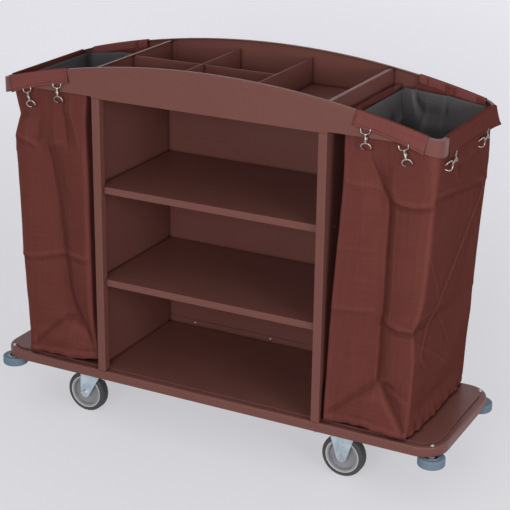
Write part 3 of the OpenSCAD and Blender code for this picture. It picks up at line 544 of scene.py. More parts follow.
# Each bag's corner edges, as (height, distance from the middle of the cart), top first
BAG_EDGES = {
    "right": {
        "inner_front": [(1010, 394), (1000, 400), (885, 401), (775, 394), (648, 385), (459, 374), (190, 363)],
        "outer_front": [(1010, 650), (960, 652), (597, 634), (534, 625), (497, 612), (419, 616), (190, 608)],
        "outer_rear": [(1010, 650), (960, 650), (600, 632), (190, 612)],
        "inner_rear": [(1010, 381), (960, 380), (600, 372), (190, 363)],
    },
    "left": {
        "inner_front": [(1010, 381), (998, 380), (912, 386), (760, 379), (549, 378), (301, 374), (190, 366)],
        "outer_front": [(1010, 646), (985, 626), (917, 606), (848, 622), (723, 619), (538, 615), (350, 606),
                        (190, 600)],
        "outer_rear": [(1010, 650), (960, 646), (600, 630), (190, 606)],
        "inner_rear": [(1010, 381), (960, 380), (600, 373), (190, 364)],
    },
}

# Folds of a cloth face, top first: (height, then the share across and how far out of each fold).
# Front and rear faces run from the cabinet to the end, the other two from the front to the rear.
RIGHT_FRONT_FOLDS = [
    (1010, (0, 0), (.14, 1), (.28, 1), (.33, 0), (.45, 1), (.55, 1), (.62, 1), (.9, 1), (.97, 1),
     (1, 0)),
    (955, (0, 2), (.15, 0), (.27, -2), (.29, -4), (.4, -1), (.575, 2.5), (.61, 3.5), (.9, 4),
     (.96, 3), (1, 2)),
    (921, (0, 2), (.16, 0), (.31, -4), (.335, -6), (.42, -2.5), (.535, 3), (.57, 4), (.85, 5),
     (.95, 5), (1, 3)),
    (876, (0, 2), (.2, 0), (.39, -5), (.412, -7), (.45, -4), (.51, 1), (.55, 4), (.85, 6),
     (.95, 6), (1, 4)),
    (852, (0, 2), (.2, 0), (.48, -6), (.5, -8), (.54, -4.5), (.6, 0), (.68, 3.5), (.8, 5.5),
     (.92, 6), (1, 4)),
    (807, (0, 2), (.225, 0), (.505, -6), (.525, -8.5), (.57, -4), (.63, 1), (.7, 4), (.8, 6),
     (.92, 6), (1, 4)),
    (712, (0, 2), (.26, 0), (.518, -6), (.538, -9), (.58, -4.5), (.64, .5), (.71, 4), (.81, 6.5),
     (.92, 7), (1, 5)),
    (601, (0, 2), (.3, -1), (.536, -7), (.556, -9.5), (.6, -5), (.66, 0), (.73, 3.5), (.82, 6),
     (.92, 6.5), (1, 5)),
    (530, (0, 2), (.27, -.5), (.56, -7), (.58, -9.5), (.625, -5), (.68, 0), (.75, 3.5), (.84, 6),
     (.92, 6), (1, 5)),
    (496, (0, 2), (.27, -1), (.568, -7), (.588, -9.5), (.63, -6), (.69, -2), (.76, .5), (.85, 2),
     (.93, 1.5), (1, 0)),
    (449, (0, 2), (.29, -1), (.567, -7), (.587, -9.5), (.63, -6), (.69, -2), (.77, 1), (.85, 2.5),
     (.93, 2.5), (1, 2)),
    (390, (0, 2), (.3, -.5), (.565, -6.5), (.585, -9), (.63, -5.5), (.69, -1.5), (.78, 1.5),
     (.87, 3), (.95, 3), (1, 2)),
    (345, (0, 1), (.3, 0), (.56, -5), (.58, -8), (.605, -6.5), (.65, -4), (.74, 0), (.88, 2),
     (.96, 2), (1, 1)),
    (325, (0, 1), (.3, 0), (.54, -4), (.56, -6), (.585, -6), (.605, -5), (.635, -7.5), (.86, 0),
     (.95, 2), (1, 1)),
    (297, (0, 1), (.2, 1), (.39, -1), (.415, -2.5), (.55, -1.5), (.675, -1), (.7, -6),
     (.84, -1.5), (.95, 1.5), (1, 1)),
    (272, (0, 1), (.15, 1), (.29, 0), (.315, -1), (.5, 2.5), (.745, 2), (.77, -4), (.87, -1.5),
     (.96, 1), (1, 1)),
    (246, (0, 1), (.1, 1), (.17, 1), (.195, 0), (.5, 6), (.83, 5), (.855, -1), (.91, -1),
     (.98, 1), (1, 1)),
    (212, (0, 0), (.01, 0), (.02, 1), (.04, 2), (.5, 12), (.93, 7), (.95, 3), (.97, 0), (.99, 0),
     (1, 0)),
    (186, (0, 0), (.02, 0), (.04, 1), (.08, 2), (.5, 7), (.92, 3), (.95, 2), (.97, 1), (.99, 0),
     (1, 0)),
]
LEFT_FRONT_FOLDS = [
    (1010, (0, 0), (.2, 2), (.3, 0), (.42, 1), (.55, 0), (.57, 0), (.7, 1), (.85, 1), (1, 0)),
    (955, (0, 1), (.21, 5), (.325, -3), (.46, 3), (.56, 1), (.58, 1), (.7, 0), (.9, -1), (1, -2)),
    (917, (0, 1), (.13, 5), (.28, -3), (.45, 3), (.56, 0), (.58, 0), (.7, -2), (.88, -1), (1, -3)),
    (864, (0, 3), (.06, 5), (.24, -1), (.43, 2), (.555, -1), (.585, -1), (.7, -3), (.86, 4), (1, 1)),
    (830, (0, 5), (.05, 5), (.22, 3), (.41, -1), (.555, -4), (.585, -3.5), (.7, -1), (.86, 3), (1, 1)),
    (800, (0, 6), (.1, 4.5), (.25, 1.5), (.42, -2.5), (.545, -6.5), (.575, -5.5), (.7, -1.5),
     (.86, 2.5), (1, 2)),
    (752, (0, 7), (.1, 5), (.24, 1.5), (.4, -3.5), (.518, -7.5), (.545, -6.5), (.7, -2), (.86, 2),
     (1, 2)),
    (679, (0, 8), (.1, 5.5), (.22, 2), (.36, -3), (.475, -8.5), (.5, -7.5), (.7, -2), (.86, 2), (1, 2)),
    (560, (0, 8), (.1, 5.5), (.2, 2.5), (.3, -1.5), (.425, -9), (.45, -8), (.7, -2.5), (.88, 2),
     (1, 2)),
    (512, (0, 8), (.1, 5.5), (.2, 2), (.28, -1), (.408, -9), (.433, -8), (.7, -2.5), (.9, 2), (1, 2)),
    (407, (0, 8), (.08, 5.5), (.16, 3), (.25, -1), (.376, -9), (.4, -8), (.7, -2.5), (.95, 2), (1, 2)),
    (367, (0, 7), (.07, 5), (.14, 2), (.22, -2), (.336, -9), (.36, -8), (.65, -2), (.9, 2), (1, 2)),
    (346, (0, 6), (.06, 4), (.12, 1.5), (.2, -3), (.308, -8), (.33, -7), (.6, -1.5), (.85, 2), (1, 1)),
    (314, (0, 3), (.04, 2), (.09, 0), (.14, -2.5), (.205, -6), (.23, -5), (.5, -1), (.8, 2), (1, 1)),
    (294, (0, 0), (.02, -1), (.04, -2), (.06, -3), (.08, -4), (.11, -2), (.5, 1), (.8, 2), (1, 1)),
    (258, (0, -2), (.01, -2), (.02, -2), (.03, -2), (.05, -1), (.1, 1), (.5, 7), (.9, 5), (1, 1)),
    (212, (0, 0), (.01, 2), (.02, 3), (.03, 4), (.04, 5), (.4, 12), (.95, 6), (.97, 5), (1, 0)),
    (186, (0, 0), (.02, 0), (.04, 1), (.06, 2), (.08, 2), (.4, 7), (.93, 3), (.97, 1), (1, 0)),
]
RIGHT_END_FOLDS = [
    (1010, (0, 0), (.17, 2), (.3, 4), (.34, 4), (.5, 5), (.8, 2), (1, 0)),
    (945, (0, 2), (.2, 4), (.25, 8), (.3, 5), (.55, 8), (.83, 4), (1, 0)),
    (872, (0, 3), (.3, 4), (.36, 6), (.4, 5), (.62, 6), (.85, 5), (1, 1)),
    (840, (0, 3), (.4, 2), (.7, 1), (.85, 2), (.92, 1), (.96, 1), (1, 0)),
    (800, (0, 4), (.5, 4), (.945, 2), (.965, 6), (.98, 2), (.99, 1), (1, 0)),
    (771, (0, 4), (.5, 5), (.87, 2), (.9, 7), (.935, 2), (.97, 0), (1, -1)),
    (715, (0, 4), (.45, 5), (.72, 1), (.75, 7), (.785, 1), (.9, -1), (1, -2)),
    (664, (0, 4), (.4, 4), (.577, 1), (.607, 7), (.642, 1), (.85, -3), (1, -2)),
    (607, (0, 4), (.3, 4), (.43, 1), (.46, 7), (.495, 1), (.8, -4), (1, -2)),
    (553, (0, 3), (.22, 3), (.293, 1), (.323, 7), (.358, 1), (.75, -4), (1, -2)),
    (498, (0, -2), (.12, 1), (.17, 1), (.2, 6), (.235, 1), (.65, -4), (1, -2)),
    (413, (0, 2), (.04, 2), (.05, 2), (.07, 5), (.11, 2), (.55, -2), (1, 0)),
    (330, (0, 1), (.1, 2), (.2, 3), (.3, 3), (.4, 3), (.7, 1), (1, 0)),
    (262, (0, 1), (.1, -1), (.2, -3), (.3, -3), (.43, -3), (.7, -2), (1, 0)),
    (225, (0, 0), (.1, 4), (.2, 6), (.3, 7), (.5, 8), (.8, 6), (1, 0)),
    (186, (0, 0), (.1, 3), (.2, 5), (.3, 6), (.5, 7), (.8, 5), (1, 0)),
]
INNER_FOLDS = [
    (1010, (0, 0), (.3, 0), (.5, 0), (.7, 0), (1, 0)),
    (880, (0, 0), (.28, 2), (.46, -3), (.72, 2), (1, 0)),
    (620, (0, 0), (.2, 2), (.5, -6), (.8, 2), (1, 0)),
    (400, (0, 0), (.25, 2), (.5, -7), (.78, 2), (1, 0)),
    (212, (0, 0), (.05, 0), (.5, 1), (.95, 0), (1, 0)),
    (186, (0, 0), (.05, 0), (.5, 1), (.95, 0), (1, 0)),
]
# The lining's rear face in the same way, but how far in
LINING_REAR_FOLDS = [
    (1040, (0, 3), (.06, 3), (.1, 3), (.54, 3), (.56, 3), (.72, 3), (1, 3)),
    (1022, (0, 5), (.1, 8), (.132, 4), (.53, 7), (.56, 4), (.72, 5), (1, 4)),
    (974, (0, 9), (.18, 18), (.22, 6), (.52, 11), (.56, 5), (.7, 9), (1, 6)),
    (964, (0, 10), (.2, 19), (.28, 7), (.52, 10), (.56, 6), (.7, 9), (1, 6)),
    (946, (0, 12), (.2, 24), (.34, 27), (.5, 25), (.58, 14), (.72, 12), (1, 8)),
    (900, (0, 14), (.2, 26), (.32, 33), (.52, 28), (.6, 16), (.74, 14), (1, 8)),
    (720, (0, 10), (.2, 12), (.35, 14), (.52, 12), (.6, 12), (.75, 10), (1, 8)),
    (186, (0, 6), (.2, 6), (.35, 6), (.52, 6), (.6, 6), (.75, 6), (1, 6)),
]

# Folds that lie across a face: (how far out, how wide, the side, points of share and height). The cloth
# on one side of the line, 1 above it or -1 below it, stands out over the rest; 0 bends both sides alike.
RIGHT_FRONT_LIPS = [
    (8.0, 70, 1, [(.49, 866), (.53, 847), (.68, 840), (.82, 839), (.965, 844), (1, 847)]),
    (2.6, 25, 1, [(0, 873), (.1, 871), (.28, 870), (.43, 867)]),
    (8.0, 40, 1, [(.55, 521), (.66, 508), (.83, 498), (1, 498)]),
    (3.0, 25, 1, [(0, 522), (.23, 527), (.5, 530)]),
    (1.4, 18, 1, [(0, 690), (.2, 697), (.48, 692)]),
    (2.4, 25, -1, [(.62, 329), (.81, 317), (1, 299)]),
    (-9.0, 34, 0, [(0, 214), (.17, 246), (.3, 280), (.45, 312), (.56, 340), (.6, 340)]),
    (-8.0, 30, 0, [(.55, 344), (.62, 326), (.7, 298), (.78, 270), (.86, 244), (.95, 212), (1, 200)]),
    (4.5, 22, -1, [(0, 209), (.15, 213), (.34, 214), (.5, 218), (.76, 208), (1, 205)]),
]
LEFT_FRONT_LIPS = [
    (5.0, 22, 1, [(0, 516), (.265, 515), (.476, 511), (.856, 493), (1, 492)]),
    (2.2, 20, 1, [(.26, 850), (.41, 846), (.6, 833)]),
    (4.0, 28, 1, [(.68, 823), (.82, 840), (1, 850)]),
    (-13.0, 38, 0, [(0, 262), (.16, 300), (.294, 319), (.43, 315), (.563, 294), (.7, 269),
     (.85, 235), (1, 210)]),
    (4.5, 20, -1, [(0, 224), (.2, 220), (.4, 213), (.5, 217), (.65, 212), (.87, 207), (1, 204)]),
]
RIGHT_END_LIPS = [
    (3.0, 45, 1, [(0, 868), (.23, 855), (.58, 832), (1, 808)]),
    (1.6, 30, 1, [(.1, 940), (.45, 915), (.8, 930)]),
    (1.4, 30, 1, [(0, 700), (.25, 560), (.5, 430), (.7, 330)]),
    (1.4, 30, -1, [(0, 470), (.3, 400), (.7, 300)]),
]


def turned_round(rows):
    """The same folds, seen from the other side of the cloth face."""
    return [(row[0], *[(1 - share, out) for share, out in reversed(row[1:])]) for row in rows]


def turned_lips(lips):
    return [(out, reach, side, [(1 - share, height) for share, height in reversed(line)])
            for out, reach, side, line in lips]


BAG_FOLDS = {
    "right": {"front": RIGHT_FRONT_FOLDS, "end": RIGHT_END_FOLDS, "rear": LEFT_FRONT_FOLDS,
              "inner": INNER_FOLDS},
    "left": {"front": LEFT_FRONT_FOLDS, "end": turned_round(RIGHT_END_FOLDS), "rear": RIGHT_FRONT_FOLDS,
             "inner": turned_round(INNER_FOLDS)},
}
BAG_LIPS = {
    "right": {"front": RIGHT_FRONT_LIPS, "end": RIGHT_END_LIPS, "rear": LEFT_FRONT_LIPS, "inner": []},
    "left": {"front": LEFT_FRONT_LIPS, "end": turned_lips(RIGHT_END_LIPS), "rear": RIGHT_FRONT_LIPS,
             "inner": []},
}


def eased(values, spread=3.0):
    """Values along a line with their kinks rounded over a few places."""
    reach = int(3 * spread)
    weights = np.exp(-0.5 * (np.arange(-reach, reach + 1) / spread) ** 2)
    padded = np.pad(values, reach, mode="edge")
    return np.convolve(padded, weights / weights.sum(), mode="valid")


def folded_face(rows, shares, heights):
    """How far out a folded face lies, at each height and share across: straight from fold to fold."""
    levels = [row[0] for row in reversed(rows)]
    fine = np.arange(levels[0] - 60, levels[-1] + 60, 3.0)
    places = []
    outs = []
    for fold in range(1, len(rows[0])):
        places.append(eased(np.interp(fine, levels, [row[fold][0] for row in reversed(rows)])))
        outs.append(eased(np.interp(fine, levels, [row[fold][1] for row in reversed(rows)])))
    field = []
    for height in heights:
        across = [np.interp(height, fine, place) for place in places]
        level = [np.interp(height, fine, out) for out in outs]
        field.append(np.interp(shares, across, level))
    field = np.array(field)
    padded = np.pad(field, 1, mode="edge")
    beside = padded[:-2, 1:-1] + padded[2:, 1:-1] + padded[1:-1, :-2] + padded[1:-1, 2:]
    return (6 * field + beside) / 10


# How wide the step at a fold across a face is, and the shares over which such folds fade at their ends
LIP_STEP = 8
LIP_FADE = 0.08
CORNER_FADE = 0.09


def lip_field(lips, shares, heights):
    """How far the folds across a face lift it: most at each line, dying away on its raised side."""
    across, level = np.meshgrid(shares, heights)
    field = np.zeros_like(across)
    for out, reach, side, line in lips:
        places = [share for share, _ in line]
        away = level - np.interp(across, places, [height for _, height in line])
        away = away * side if side else np.abs(away)
        step = np.clip(away / LIP_STEP + 0.5, 0, 1) if side else np.ones_like(across)
        fade = np.ones_like(across)
        if not side:
            fade = np.clip(np.minimum(across, 1 - across) / CORNER_FADE, 0, 1)
        if places[0] > 0:
            fade *= np.clip((across - places[0]) / LIP_FADE, 0, 1)
        if places[-1] < 1:
            fade *= np.clip((places[-1] - across) / LIP_FADE, 0, 1)
        field += out * fade * step * step * (3 - 2 * step) * np.exp(-np.maximum(away, 0) / reach)
    return field


def crumples(face, point, share, seed):
    """Small uneven dents, the pull under the rim and the gathers along the lower seam, in millimetres."""
    broad = rough_at(point.x / 90 + seed, point.y / 90, point.z / 120)
    ridge = 0.22 - abs(rough_at(point.x / 60, point.y / 60 + seed, point.z / 95))
    small = rough_at(point.x / 30, point.y / 30 + seed, point.z / 44)
    pull = math.exp(-((point.z - 985) / 42) ** 2)
    pleat = rough_at(point.x / 13 + seed, point.y / 13, point.z / 130)
    tall = 20 if face == "front" else 54 - 26 * share
    low = within(1 - (point.z - BAG_EDGE_Z) / tall)
    gather = rough_at(point.x / 22, point.y / 22, point.z / 60 + seed)
    size = 4.0 if face == "front" else 8.0
    return 0.9 * broad + 1.3 * ridge + 0.45 * small + 1.3 * pull * pleat + low * (1.0 + size * gather)


# How much deeper the front and rear folds lie below the rim, and the heights between which that starts
VALLEY_GAIN = 2.7
RIDGE_GAIN = 1.4
GAIN_Z = (900, 960)
# How much of the outer cloth's bulges the lining follows
LINING_FOLLOWS = 0.4


def bag_loops(side, heights, draw_in, folds, seed):
    """Closed rows of points round a bag at each height, from its folded faces and rounded corners.

    The lining gives folds, a function for how far in each face lies. The outer cloth and the facing
    give none.
    """
    fields = {}
    for face, columns in FACE_COLUMNS.items():
        shares = np.linspace(0, 1, columns)
        fields[face] = folded_face(BAG_FOLDS[side][face], shares, heights)
        if face in ("front", "rear"):
            valley = np.interp(heights, GAIN_Z, (VALLEY_GAIN, 1.0))[:, None]
            ridge = np.interp(heights, GAIN_Z, (RIDGE_GAIN, 1.0))[:, None]
            fields[face] *= np.where(fields[face] < 0, valley, ridge)
        fields[face] += lip_field(BAG_LIPS[side][face], shares, heights)
        if folds is not None:
            followed = np.minimum(fields[face], fields[face] * LINING_FOLLOWS)
            fields[face] = followed - folds(face, shares, heights)
    rows = []
    for level, height in enumerate(heights):
        xs = {name: between(edge, height) for name, edge in BAG_EDGES[side].items()}
        corners = {
            "front": (Vector((xs["inner_front"], -BAG_Y)), Vector((xs["outer_front"], -BAG_Y))),
            "end": (Vector((xs["outer_front"], -BAG_Y)), Vector((xs["outer_rear"], BAG_Y))),
            "rear": (Vector((xs["inner_rear"], BAG_Y)), Vector((xs["outer_rear"], BAG_Y))),
            "inner": (Vector((xs["inner_front"], -BAG_Y)), Vector((xs["inner_rear"], BAG_Y))),
        }
        rim_share = within((height - 900) / 90)
        radius = {"outer": 7 + 22 * rim_share, "inner": 9}
        straights = []
        for face in ("front", "end", "rear", "inner"):
            start, finish = corners[face]
            along = (finish - start).normalized()
            out = Vector((along.y, -along.x)) if face in ("front", "end") else Vector((-along.y, along.x))
            length = (finish - start).length
            first = radius["outer"] if face == "end" else radius["inner"]
            last = radius["inner"] if face == "inner" else radius["outer"]
            line = []
            for column, share in enumerate(np.linspace(0, 1, FACE_COLUMNS[face])):
                place = first + share * (length - first - last)
                point = start + along * place + out * (fields[face][level][column] - draw_in)
                point = Vector((point.x, point.y, height))
                if folds is None:
                    point += Vector((out.x, out.y, 0)) * crumples(face, point, share, seed)
                line.append(point)
            if face in ("rear", "inner"):
                line.reverse()
            straights.append((line, along if face in ("front", "end") else -along))
        row = []
        for index, (line, along) in enumerate(straights):
            row.extend(line)
            following, turn = straights[(index + 1) % 4]
            gap = (following[0] - line[-1]).length
            first_control = line[-1] + Vector((along.x, along.y, 0)) * gap * 0.55
            last_control = following[0] - Vector((turn.x, turn.y, 0)) * gap * 0.55
            for step in range(1, CORNER_COLUMNS + 1):
                share = step / (CORNER_COLUMNS + 1)
                rest = 1 - share
                row.append(line[-1] * rest ** 3 + first_control * 3 * rest * rest * share
                           + last_control * 3 * rest * share * share + following[0] * share ** 3)
        rows.append(row)
    return rows


def flat_places(rows):
    """Places on the flat cloth, in metres: along each row and down the rows."""
    flat = []
    down = 0.0
    before = None
    for row in rows:
        points = np.array([tuple(point) for point in row])
        steps = np.linalg.norm(np.diff(points, axis=0), axis=1)
        along = np.concatenate([[0.0], np.cumsum(steps)])
        if before is not None:
            down += float(np.mean(np.linalg.norm(points - before, axis=1)))
        flat.append([(x * MM, down * MM) for x in along])
        before = points
    return flat


# How a bag's bottom closes: (share of the way out from its middle, share of the way down to its floor)
BODY_BOTTOM = [
    (0.993, -0.05), (0.98, 0.02), (0.95, 0.12), (0.9, 0.4), (0.84, 0.8), (0.75, 1.0), (0.4, 1.0),
    (0.1, 1.0),
]
LINING_BOTTOM = [(0.98, 0.4), (0.94, 0.8), (0.85, 1.0), (0.5, 1.0), (0.1, 1.0)]


def bottom_rows(rim, floor_z, steps):
    """Rows that close a bag's bottom, from its lowest row in to the middle."""
    centre = sum((Vector(point) for point in rim), Vector()) / len(rim)
    rows = []
    for share, drop in steps:
        row = []
        for point in rim:
            moved = centre + (Vector(point) - centre) * share
            moved.z = point.z + (floor_z - point.z) * drop
            row.append(moved)
        rows.append(row)
    return rows


# Height of the bag's foot, and how far its hem hangs above the lower edge, from the cabinet to the end
FOOT = 38
HEM_LIFT = {
    "right": [(363, -1), (390, 3), (432, 9), (478, 14), (517, 8), (566, 1), (612, 0)],
    "left": [(363, 20), (410, 14), (455, 8), (480, 12), (520, 8), (573, 2), (606, -1)],
}


def hem_lift(side, point, seed):
    """The lower edge rises between its corners, unevenly, along the front and the rear."""
    share = within((abs(point.y) - 150) / 45)
    return share * between(HEM_LIFT[side], point.x) + 2.4 * rough_at(point.x / 30 + seed, point.y / 30, 0.0)


# The bend, in millimetres over a few points, that counts as a full crease in the outer cloth and the lining
BODY_CREASE = 2.4
LINING_CREASE = 9.0
# Rows at a bag's bottom without creases, and the row of its lower seam, counted from the last
BOTTOM_ROWS = 10
SEAM_ROW = 11


def crease_values(rows, full):
    """How sharply the cloth bends at each point: above 0 in a valley, below 0 on a ridge, 1 at full."""
    points = np.array([[tuple(point) for point in row] for row in rows])
    reach = 3
    along = np.roll(points, -reach, axis=1) - np.roll(points, reach, axis=1)
    padded = np.pad(points, ((reach, reach), (0, 0), (0, 0)), mode="edge")
    above = padded[:-2 * reach]
    below = padded[2 * reach:]
    normal = np.cross(along, above - below)
    normal /= np.maximum(np.linalg.norm(normal, axis=2, keepdims=True), 1e-9)
    beside = (np.roll(points, -reach, axis=1) + np.roll(points, reach, axis=1)) / 2 - points
    over = (above + below) / 2 - points
    bend = np.sum(beside * normal, axis=2) + np.sum(over * normal, axis=2)
    return np.clip(bend / full, -1, 1)


def mark_creases(piece, creases):
    """Keep the creases on the piece's points for its finish, apart from the gathers of its bottom."""
    creases[-BOTTOM_ROWS:] = 0
    piece.data.attributes.new("crease", "FLOAT", "POINT").data.foreach_set("value", creases.ravel())


def bag_body(side, mirror):
    seed = 3.0 if side == "right" else 11.0
    heights = list(np.arange(BAG_TOP_Z, BAG_EDGE_Z + FOOT + 2, -ROW_STEP))
    heights += [BAG_EDGE_Z + rise for rise in (FOOT, 33, 28, 23, 18, 13, 8, 4, 0)]
    rows = bag_loops(side, heights, 0.0, None, seed)
    for row, height in zip(rows, heights):
        share = within((BAG_EDGE_Z + FOOT - height) / FOOT)
        for point in row:
            point.z += share * hem_lift(side, point, seed)
    rows += bottom_rows(rows[-1], BAG_FLOOR_Z, BODY_BOTTOM)
    shape = Shape()
    shape.grid(rows, flat_places(rows), closed=True)
    body = make_piece(f"{side}_bag_body", shape, "cart", MAROON, mirror, smooth=180)
    mark_creases(body, crease_values(rows, BODY_CREASE))
    thicken(body, CLOTH)
    return body, rows


def lining_folds(face, shares, heights):
    """How far the lining stands in from the outer cloth: close at the top, sagging lower down."""
    if face == "rear":
        return folded_face(LINING_REAR_FOLDS, shares, heights)
    across, down = np.meshgrid(shares, heights)
    depth = np.clip((BAG_TOP_Z + 10 - down) / 60, 0, 1)
    wave = np.abs(np.sin(across * 7.4 + down / 90.0 + (2.0 if face == "inner" else 0.4)))
    swag = np.exp(-((down - 940 + 26 * np.sin(across * math.pi)) / 15.0) ** 2)
    return 2.6 + depth * (1.5 + 5.0 * wave + 8.0 * swag)


def lining_top(point):
    """Height of the seam between the lining and the facing."""
    level = float(np.interp(point.x, (398, 434, 527, 607, 650), (1034, 1030, 1025, 1013, 1008)))
    clear = within((point.x - RAIL_OUTER_X - 4) / 14)
    return (1 - clear) * (RAIL_TOP - 16) + clear * level


def bag_lining(side, mirror):
    heights = list(np.arange(BAG_TOP_Z, BAG_EDGE_Z + 20, -ROW_STEP * 1.5)) + [BAG_EDGE_Z + 16]
    rows = bag_loops(side, heights, 1.0, lining_folds, 5.0)
    for row, height in zip(rows, heights):
        share = within((height - 900) / (BAG_TOP_Z - 900))
        for point in row:
            point.z += share * (lining_top(point) - BAG_TOP_Z)
    rows += bottom_rows(rows[-1], BAG_FLOOR_Z + 6, LINING_BOTTOM)
    shape = Shape()
    shape.grid(rows, flat_places(rows), closed=True)
    shape.flip()
    lining = make_piece(f"{side}_bag_lining", shape, "cart", LINING, mirror, smooth=180)
    mark_creases(lining, -crease_values(rows, LINING_CREASE))
    thicken(lining, LINING_CLOTH)
    return lining


def mouth_z(point):
    """Height of the mouth's edge: at the rim's top under a flap, and just above the lining elsewhere."""
    bare = lining_top(point) + 2.5
    if abs(point.y) > BAG_Y - 14:
        return arch_z(point.x) + 0.6 if FLAP_X[0] - 1 < point.x < FLAP_X[1] else bare
    if point.x < RAIL_OUTER_X + 14:
        return RAIL_TOP + 1.5 if abs(point.y) < RAIL_FLAP_HALF else bare
    return arch_z(point.x) + 0.6 if END_FLAP_Y[0] < point.y < END_FLAP_Y[1] - 17 else bare


def bag_facing(side, mirror):
    """Maroon strip inside the mouth, from the rim down over the lining's edge."""
    loop = bag_loops(side, [BAG_TOP_Z + 2], 2.0, None, 0.0)[0]
    for point in loop:
        if point.x < RAIL_OUTER_X + 30:
            inner = RAIL_OUTER_X + 2.6
            point.x = inner + (point.x - inner) * max(0.0, (point.x - RAIL_OUTER_X) / 30) * 0.4
    rows = []
    for share in (0, 0.06, 0.35, 0.7, 1):
        row = []
        for point in loop:
            top = mouth_z(point)
            low = lining_top(point) - 3 + 0.8 * math.sin(point.x / 17) * math.cos(point.y / 23)
            row.append(Vector((point.x, point.y, top + share * (low - top))))
        rows.append(row)
    shape = Shape()
    shape.grid(rows, flat_places(rows), closed=True)
    facing = make_piece(f"{side}_bag_facing", shape, "cart", MAROON, mirror, smooth=180)
    thicken(facing, CLOTH)
    return facing, rows


def over_the_rim(inner_n, outer_n, drop, flare):
    """Outline of a flap in (distance out, height): up the inside, over the rim, down to its turned hem."""
    bend = 2.2
    outline = []
    for share in np.linspace(0, 1, 5):
        outline.append((inner_n, -FACING + share * (FACING - bend)))
    for angle in (30, 60, 90):
        turn = math.radians(angle)
        outline.append((inner_n + bend * (1 - math.cos(turn)), -bend + bend * math.sin(turn)))
    outline.append(((inner_n + outer_n) / 2, 0.3))
    for angle in (90, 60, 30, 0):
        turn = math.radians(angle)
        outline.append((outer_n - bend + bend * math.cos(turn), -bend + bend * math.sin(turn)))
    length = drop - bend
    for share in np.linspace(0.08, 1, 14):
        outline.append((outer_n + flare * share * share, -bend - share * length))
    outline.append((outer_n + flare + 1.5, -drop - 0.5))
    outline.append((outer_n + flare + 2.2, -drop + 0.9))
    for share in (0.4, 0.8, 1.0):
        flared = flare * (1 - HEM * share / length) ** 2
        outline.append((outer_n + flared + 2.0 - 0.3 * share, -drop + HEM * share))
    return outline


# Points of a flap's outline before it turns down outside, and its last point before the turned hem
OVER_POINTS = 13
EDGE_POINT = 26


def flap_piece(name, shape_rows, mirror, flip, cloth):
    """Flap from its rows, and the rows for its stitches."""
    shape = Shape()
    shape.grid(shape_rows, flat_places(shape_rows))
    if flip:
        shape.flip()
    flap = make_piece(name, shape, "cart", cloth, mirror, smooth=180)
    thicken(flap, FLAP_CLOTH, inwards=False)
    return flap, shape_rows


def face_flap(side, mirror, face, seed):
    """Flap over an arched panel, whose ends slant towards the cabinet as they hang."""
    rows = []
    outline = over_the_rim(PANEL_Y - FLANGE - FLANGE_GAP, PANEL_Y + CLOTH_GAP, FLAP_DROP, 0.8)
    for share in np.linspace(0, 1, 36):
        row = []
        for number, (out, height) in enumerate(outline):
            outside = number >= OVER_POINTS
            low = within(-height / FLAP_DROP)
            slant = low if outside else 0
            x = FLAP_X[0] - 7 * slant + share * (FLAP_X[1] - FLAP_X[0] - 2 * slant)
            rim = arch_z(x) + FLAP_LIFT
            z = rim + height * ((rim - flap_edge_z(x)) / FLAP_DROP if outside else 1)
            lift = rough_at(x / 60, seed, height / 40)
            end_lift = 2.6 * math.exp(-(share * 187 / 8) ** 2) * low
            wave = ((0.9 + lift) * low * 1.2 + end_lift) if outside else 0.0
            row.append(Vector((x, face * (out + wave), z)))
        rows.append(row)
    name = f"{side}_bag_front_flap" if face < 0 else f"{side}_bag_rear_flap"
    return flap_piece(name, rows, mirror, face > 0, LIT_MAROON)


def end_flap(side, mirror):
    """Flap over the end band; its rear end stands out like an ear."""
    rows = []
    outline = over_the_rim(RIM_X - FLANGE - FLANGE_GAP, RIM_X + CLOTH_GAP, END_FLAP_DROP, 1.2)
    for share in np.linspace(0, 1, 60):
        y = END_FLAP_Y[0] + share * (END_FLAP_Y[1] - END_FLAP_Y[0])
        ear = max(0.0, (y - 130) / 65) ** 2
        row = []
        for number, (out, height) in enumerate(outline):
            outside = number >= OVER_POINTS
            low = within(-height / END_FLAP_DROP)
            rim = arch_z(min(out, RIM_X)) + FLAP_LIFT
            lift = rough_at(4.2, y / 70, height / 40)
            wave = (1.0 + lift) * low * 1.3 + 13 * ear * low ** 1.4 if outside else 0.0
            inner = max(out, RIM_X - FLANGE - FLANGE_GAP + 7 * min(ear * 1.4, 1))
            row.append(Vector((inner + wave, y, rim + height + 2.5 * ear * low)))
        rows.append(row)
    return flap_piece(f"{side}_bag_end_flap", rows, mirror, False, MAROON)


def rail_flap(side, mirror):
    """Flap over the rail beside the tray, hanging in the gap behind it."""
    rows = []
    drop = RAIL_TOP - RAIL_FLAP_Z
    outline = over_the_rim(-RAIL_OUTER_X - 1.6, -RAIL_INNER_X + CLOTH_GAP, drop, 0.6)
    for share in np.linspace(0, 1, 40):
        y = RAIL_FLAP_HALF - share * 2 * RAIL_FLAP_HALF
        row = []
        for number, (out, height) in enumerate(outline):
            low = within(-height / drop)
            lift = rough_at(7.7, y / 60, height / 40)
            wave = (0.8 + lift) * low if number >= OVER_POINTS else 0.0
            row.append(Vector((-out - wave, y, RAIL_TOP + FLAP_LIFT + height)))
        rows.append(row)
    return flap_piece(f"{side}_bag_rail_flap", rows, mirror, False, MAROON)


STITCH_PITCH = 4.6
STITCH_LENGTH = 3.3
STITCH_RADIUS = 0.4


